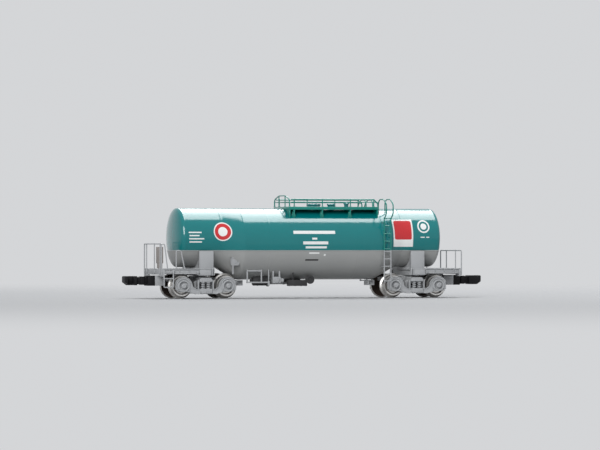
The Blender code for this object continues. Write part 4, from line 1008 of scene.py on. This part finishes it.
# Wheelsets: bright turned tyres with flanges, dark brown wheel centres with a hub, and an
# axle whose points run in the side frames.
tyre_metal, nodes, links, sockets = new_look("tyre_metal")
sockets["Metallic"].default_value = 1.0
place = added(nodes, "TexCoord")
marks = added(nodes, "TexNoise", {"Scale": 900})
tones = added(nodes, "Mix", data_type="RGBA")
tones.inputs[6].default_value = (0.7, 0.68, 0.65, 1)
tones.inputs[7].default_value = (0.9, 0.88, 0.85, 1)
dulled = added(nodes, "MapRange", {"To Min": 0.25, "To Max": 0.42})
links.new(place.outputs["Object"], marks.inputs["Vector"])
links.new(marks.outputs["Fac"], tones.inputs[0])
links.new(marks.outputs["Fac"], dulled.inputs["Value"])
links.new(tones.outputs[2], sockets["Base Color"])
links.new(dulled.outputs["Result"], sockets["Roughness"])
wheel_brown = moulded("wheel_brown", (0.045, 0.032, 0.026), 0.2, 0.5, 0.4)
tyre = [(3.7, 3.15), (3.75, 3.22), (3.88, 3.38), (3.98, 3.39), (4.1, 3.3), (4.2, 3.05), (4.32, 2.91)]
tyre += [(5.7, 2.8), (5.8, 2.72), (5.8, 2.34), (5.74, 2.28), (5.3, 2.2)]
web = [(3.66, 2.98), (3.69, 3.05), (3.72, 2.1), (5.36, 2.18), (5.32, 2.05), (5.12, 1.75), (5.1, 1.35)]
web += [(5.3, 1.1), (5.7, 1.0), (5.72, 0.5)]
spindle = [(-7.08, 0.03), (-6.25, 0.72), (-6.2, 0.74), (6.2, 0.74), (6.25, 0.72), (7.08, 0.03)]
for x, which in ((c + half_base, "outer"), (c - half_base, "inner")):
    body = f"wheelset_%s_{which}"
    wheels = [f"wheel_%s_{which}_{side}" for side in ("near", "far")]
    rings = ((tyre_metal, "tyres", tyre, wheels), (wheel_brown, "centres", web, []))
    for look, name, profile, stood_for in rings:
        pair = [turned("Y", (x, 0, axle_z), [(side * d, r) for d, r in profile], 72) for side in (-1, 1)]
        both_ends(pair, f"{name}_%s_{which}", look, body, "wheel_metal", *stood_for)
    axle = turned("Y", (x, 0, axle_z), spindle)
    both_ends([axle], f"axle_%s_{which}_turned", tyre_metal, body, "axle_metal", f"axle_%s_{which}")

# Couplers: black hook couplers, each turning on its pocket's pin by a round tail, with a
# head open on one side and cut back below so that two heads ride over each other.
tip, low, high = beam_x + 8.4, coupler_z - 1.225, coupler_z + 1.225
tail = turned("Z", (coupler_x, 0, coupler_z), [(-0.99, 1.24), (-0.93, 1.3), (0.93, 1.3), (0.99, 1.24)], 40)
tail = cut(tail, bore(coupler_x, coupler_z, 0.59, 24))
shank = eased(block((coupler_x, tip - 3.0), about(0, 0.68), about(coupler_z, 0.98)), 0.07)
shank = cut(shank, bore(coupler_x, coupler_z, 0.59, 24))
collar = eased(block((coupler_x + 2.9, coupler_x + 4.0), about(0, 1.05), (low + 0.1, high - 0.1)), 0.09, 3)
nose = [(3.4, low), (1.1, low), (0, low + 0.8), (0, high - 0.2), (0.2, high), (3.4, high)]
head = plate([(tip - back, z) for back, z in nose], "Y", -1.65, 1.65)
head = cut(head, block((tip - 2.6, tip - 0.85), (-1.05, 3), (low - 1, high + 1)))
ribs = [block((tip - d, tip - d + 0.14), (-1.6, -1.68), (low + 0.3, high - 0.3)) for d in (2.9, 2.4, 1.9)]
pieces = [tail, shank, collar, eased(head, 0.12, 3), eased(as_one(ribs), 0.02, 1)]
both_ends(pieces, "coupler_%s_hook", coupler_black, "coupler_%s_arm", "coupler_black", "coupler_%s")

# Weight: a plain steel bar inside the tank, which the shells hide
steel = moulded("weight_steel", (0.32, 0.32, 0.33), 0.1, 0.45, 0.3)
steel.node_tree.nodes["Principled BSDF"].inputs["Metallic"].default_value = 1.0
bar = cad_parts["ballast_weight"]
bar.data.materials.clear()
bar.data.materials.append(steel)

# Printed marks: flat inks on the shells, all of them blank and alike on both sides. A red
# ring on white, a red and white sign plate, a white ring, and plain bars for small print.
ink_white = moulded("ink_white", (0.8, 0.81, 0.8), 0.03, 0.32, 0.1, coat=0.6, coat_roughness=0.15)
ink_red = moulded("ink_red", (0.55, 0.03, 0.035), 0.05, 0.32, 0.1, coat=0.6, coat_roughness=0.15)
ink_black = moulded("ink_black", (0.03, 0.03, 0.03), 0.1, 0.35, 0.1)


def stamp_of(outline, hole=None):
    """The stamp of one mark, right through the car, within an outline of (x, z)."""
    stamp = plate(outline, "Y", -20, 20)
    return cut(stamp, plate(hole, "Y", -21, 21)) if hole else stamp


def inked(stamps, thickness, name, look, slot):
    """Marks on both sides of the tank: what a thin skin round the tank shares with the stamps."""
    skin = drawn_tank(thickness)
    stamp = as_one(stamps)
    modified(skin, "BOOLEAN", operation="INTERSECT", solver="EXACT", object=stamp)
    bpy.data.objects.remove(stamp)
    cut(skin, drawn_tank(-0.02))
    settled([skin], name, look, "car", slot)


def disc(x, z, radius):
    """A round outline."""
    return arc(x, z, radius, 0, 352.5, 47)


def box_outline(low_x, high_x, low_z, high_z, corner=0.0):
    """A rectangle, with rounded corners if a radius is given."""
    if not corner:
        return [(low_x, low_z), (high_x, low_z), (high_x, high_z), (low_x, high_z)]
    left, right, low, high = low_x + corner, high_x - corner, low_z + corner, high_z - corner
    points = []
    for x, z, first in ((right, low, -90), (right, high, 0), (left, high, 90), (left, low, 180)):
        points += arc(x, z, corner, first, first + 90, 5)
    return points


ring_x, ring_z, badge_x, badge_z = -25.4, 17.95, 31.9, 19.4
sign_x, sign_low, sign_high = 25.8, 13.9, 21.3
small_print = (
    # low x, high x, middle height, half height
    (-34.9, -31.3, 17.75, 0.17),
    (-34.7, -31.9, 16.9, 0.17),
    (-34.8, -30.6, 16.05, 0.17),
    (-34.7, -31.2, 15.2, 0.17),
    (-5.9, 5.9, 17.8, 0.42),
    (-0.7, 0.7, 16.1, 0.26),
    (-3.3, 3.8, 14.95, 0.4),
    (-2.6, 3.4, 13.75, 0.28),
    (30.9, 32.1, 16.485, 0.135),
    (32.5, 33.4, 16.485, 0.135),
    (-1.5, 1.4, 12.2, 0.2),
    (2.7, 3.2, 11.7, 0.25),
)
white_marks = [stamp_of(disc(ring_x, ring_z, 2.5))]
white_marks.append(stamp_of(box_outline(*about(sign_x, 2.95), sign_low, sign_high)))
white_marks.append(stamp_of(disc(badge_x, badge_z, 1.75), disc(badge_x, badge_z, 1.35)))
white_marks.append(stamp_of(disc(badge_x, badge_z, 0.85)))
white_marks += [stamp_of(box_outline(low, high, *about(z, tall))) for low, high, z, tall in small_print]
inked(white_marks, 0.012, "printed_white", ink_white, "tank_green")
inked([stamp_of(box_outline(-2.4, 1.3, 10.15, 10.55))], 0.012, "printed_black", ink_black, "tank_grey")
red_marks = [stamp_of(disc(ring_x, ring_z, 2.2), disc(ring_x, ring_z, 1.25))]
red_marks.append(stamp_of(box_outline(*about(sign_x, 2.55), sign_low + 1.95, sign_high - 0.35, 0.5)))
inked(red_marks, 0.02, "printed_red", ink_red, "tank_green")
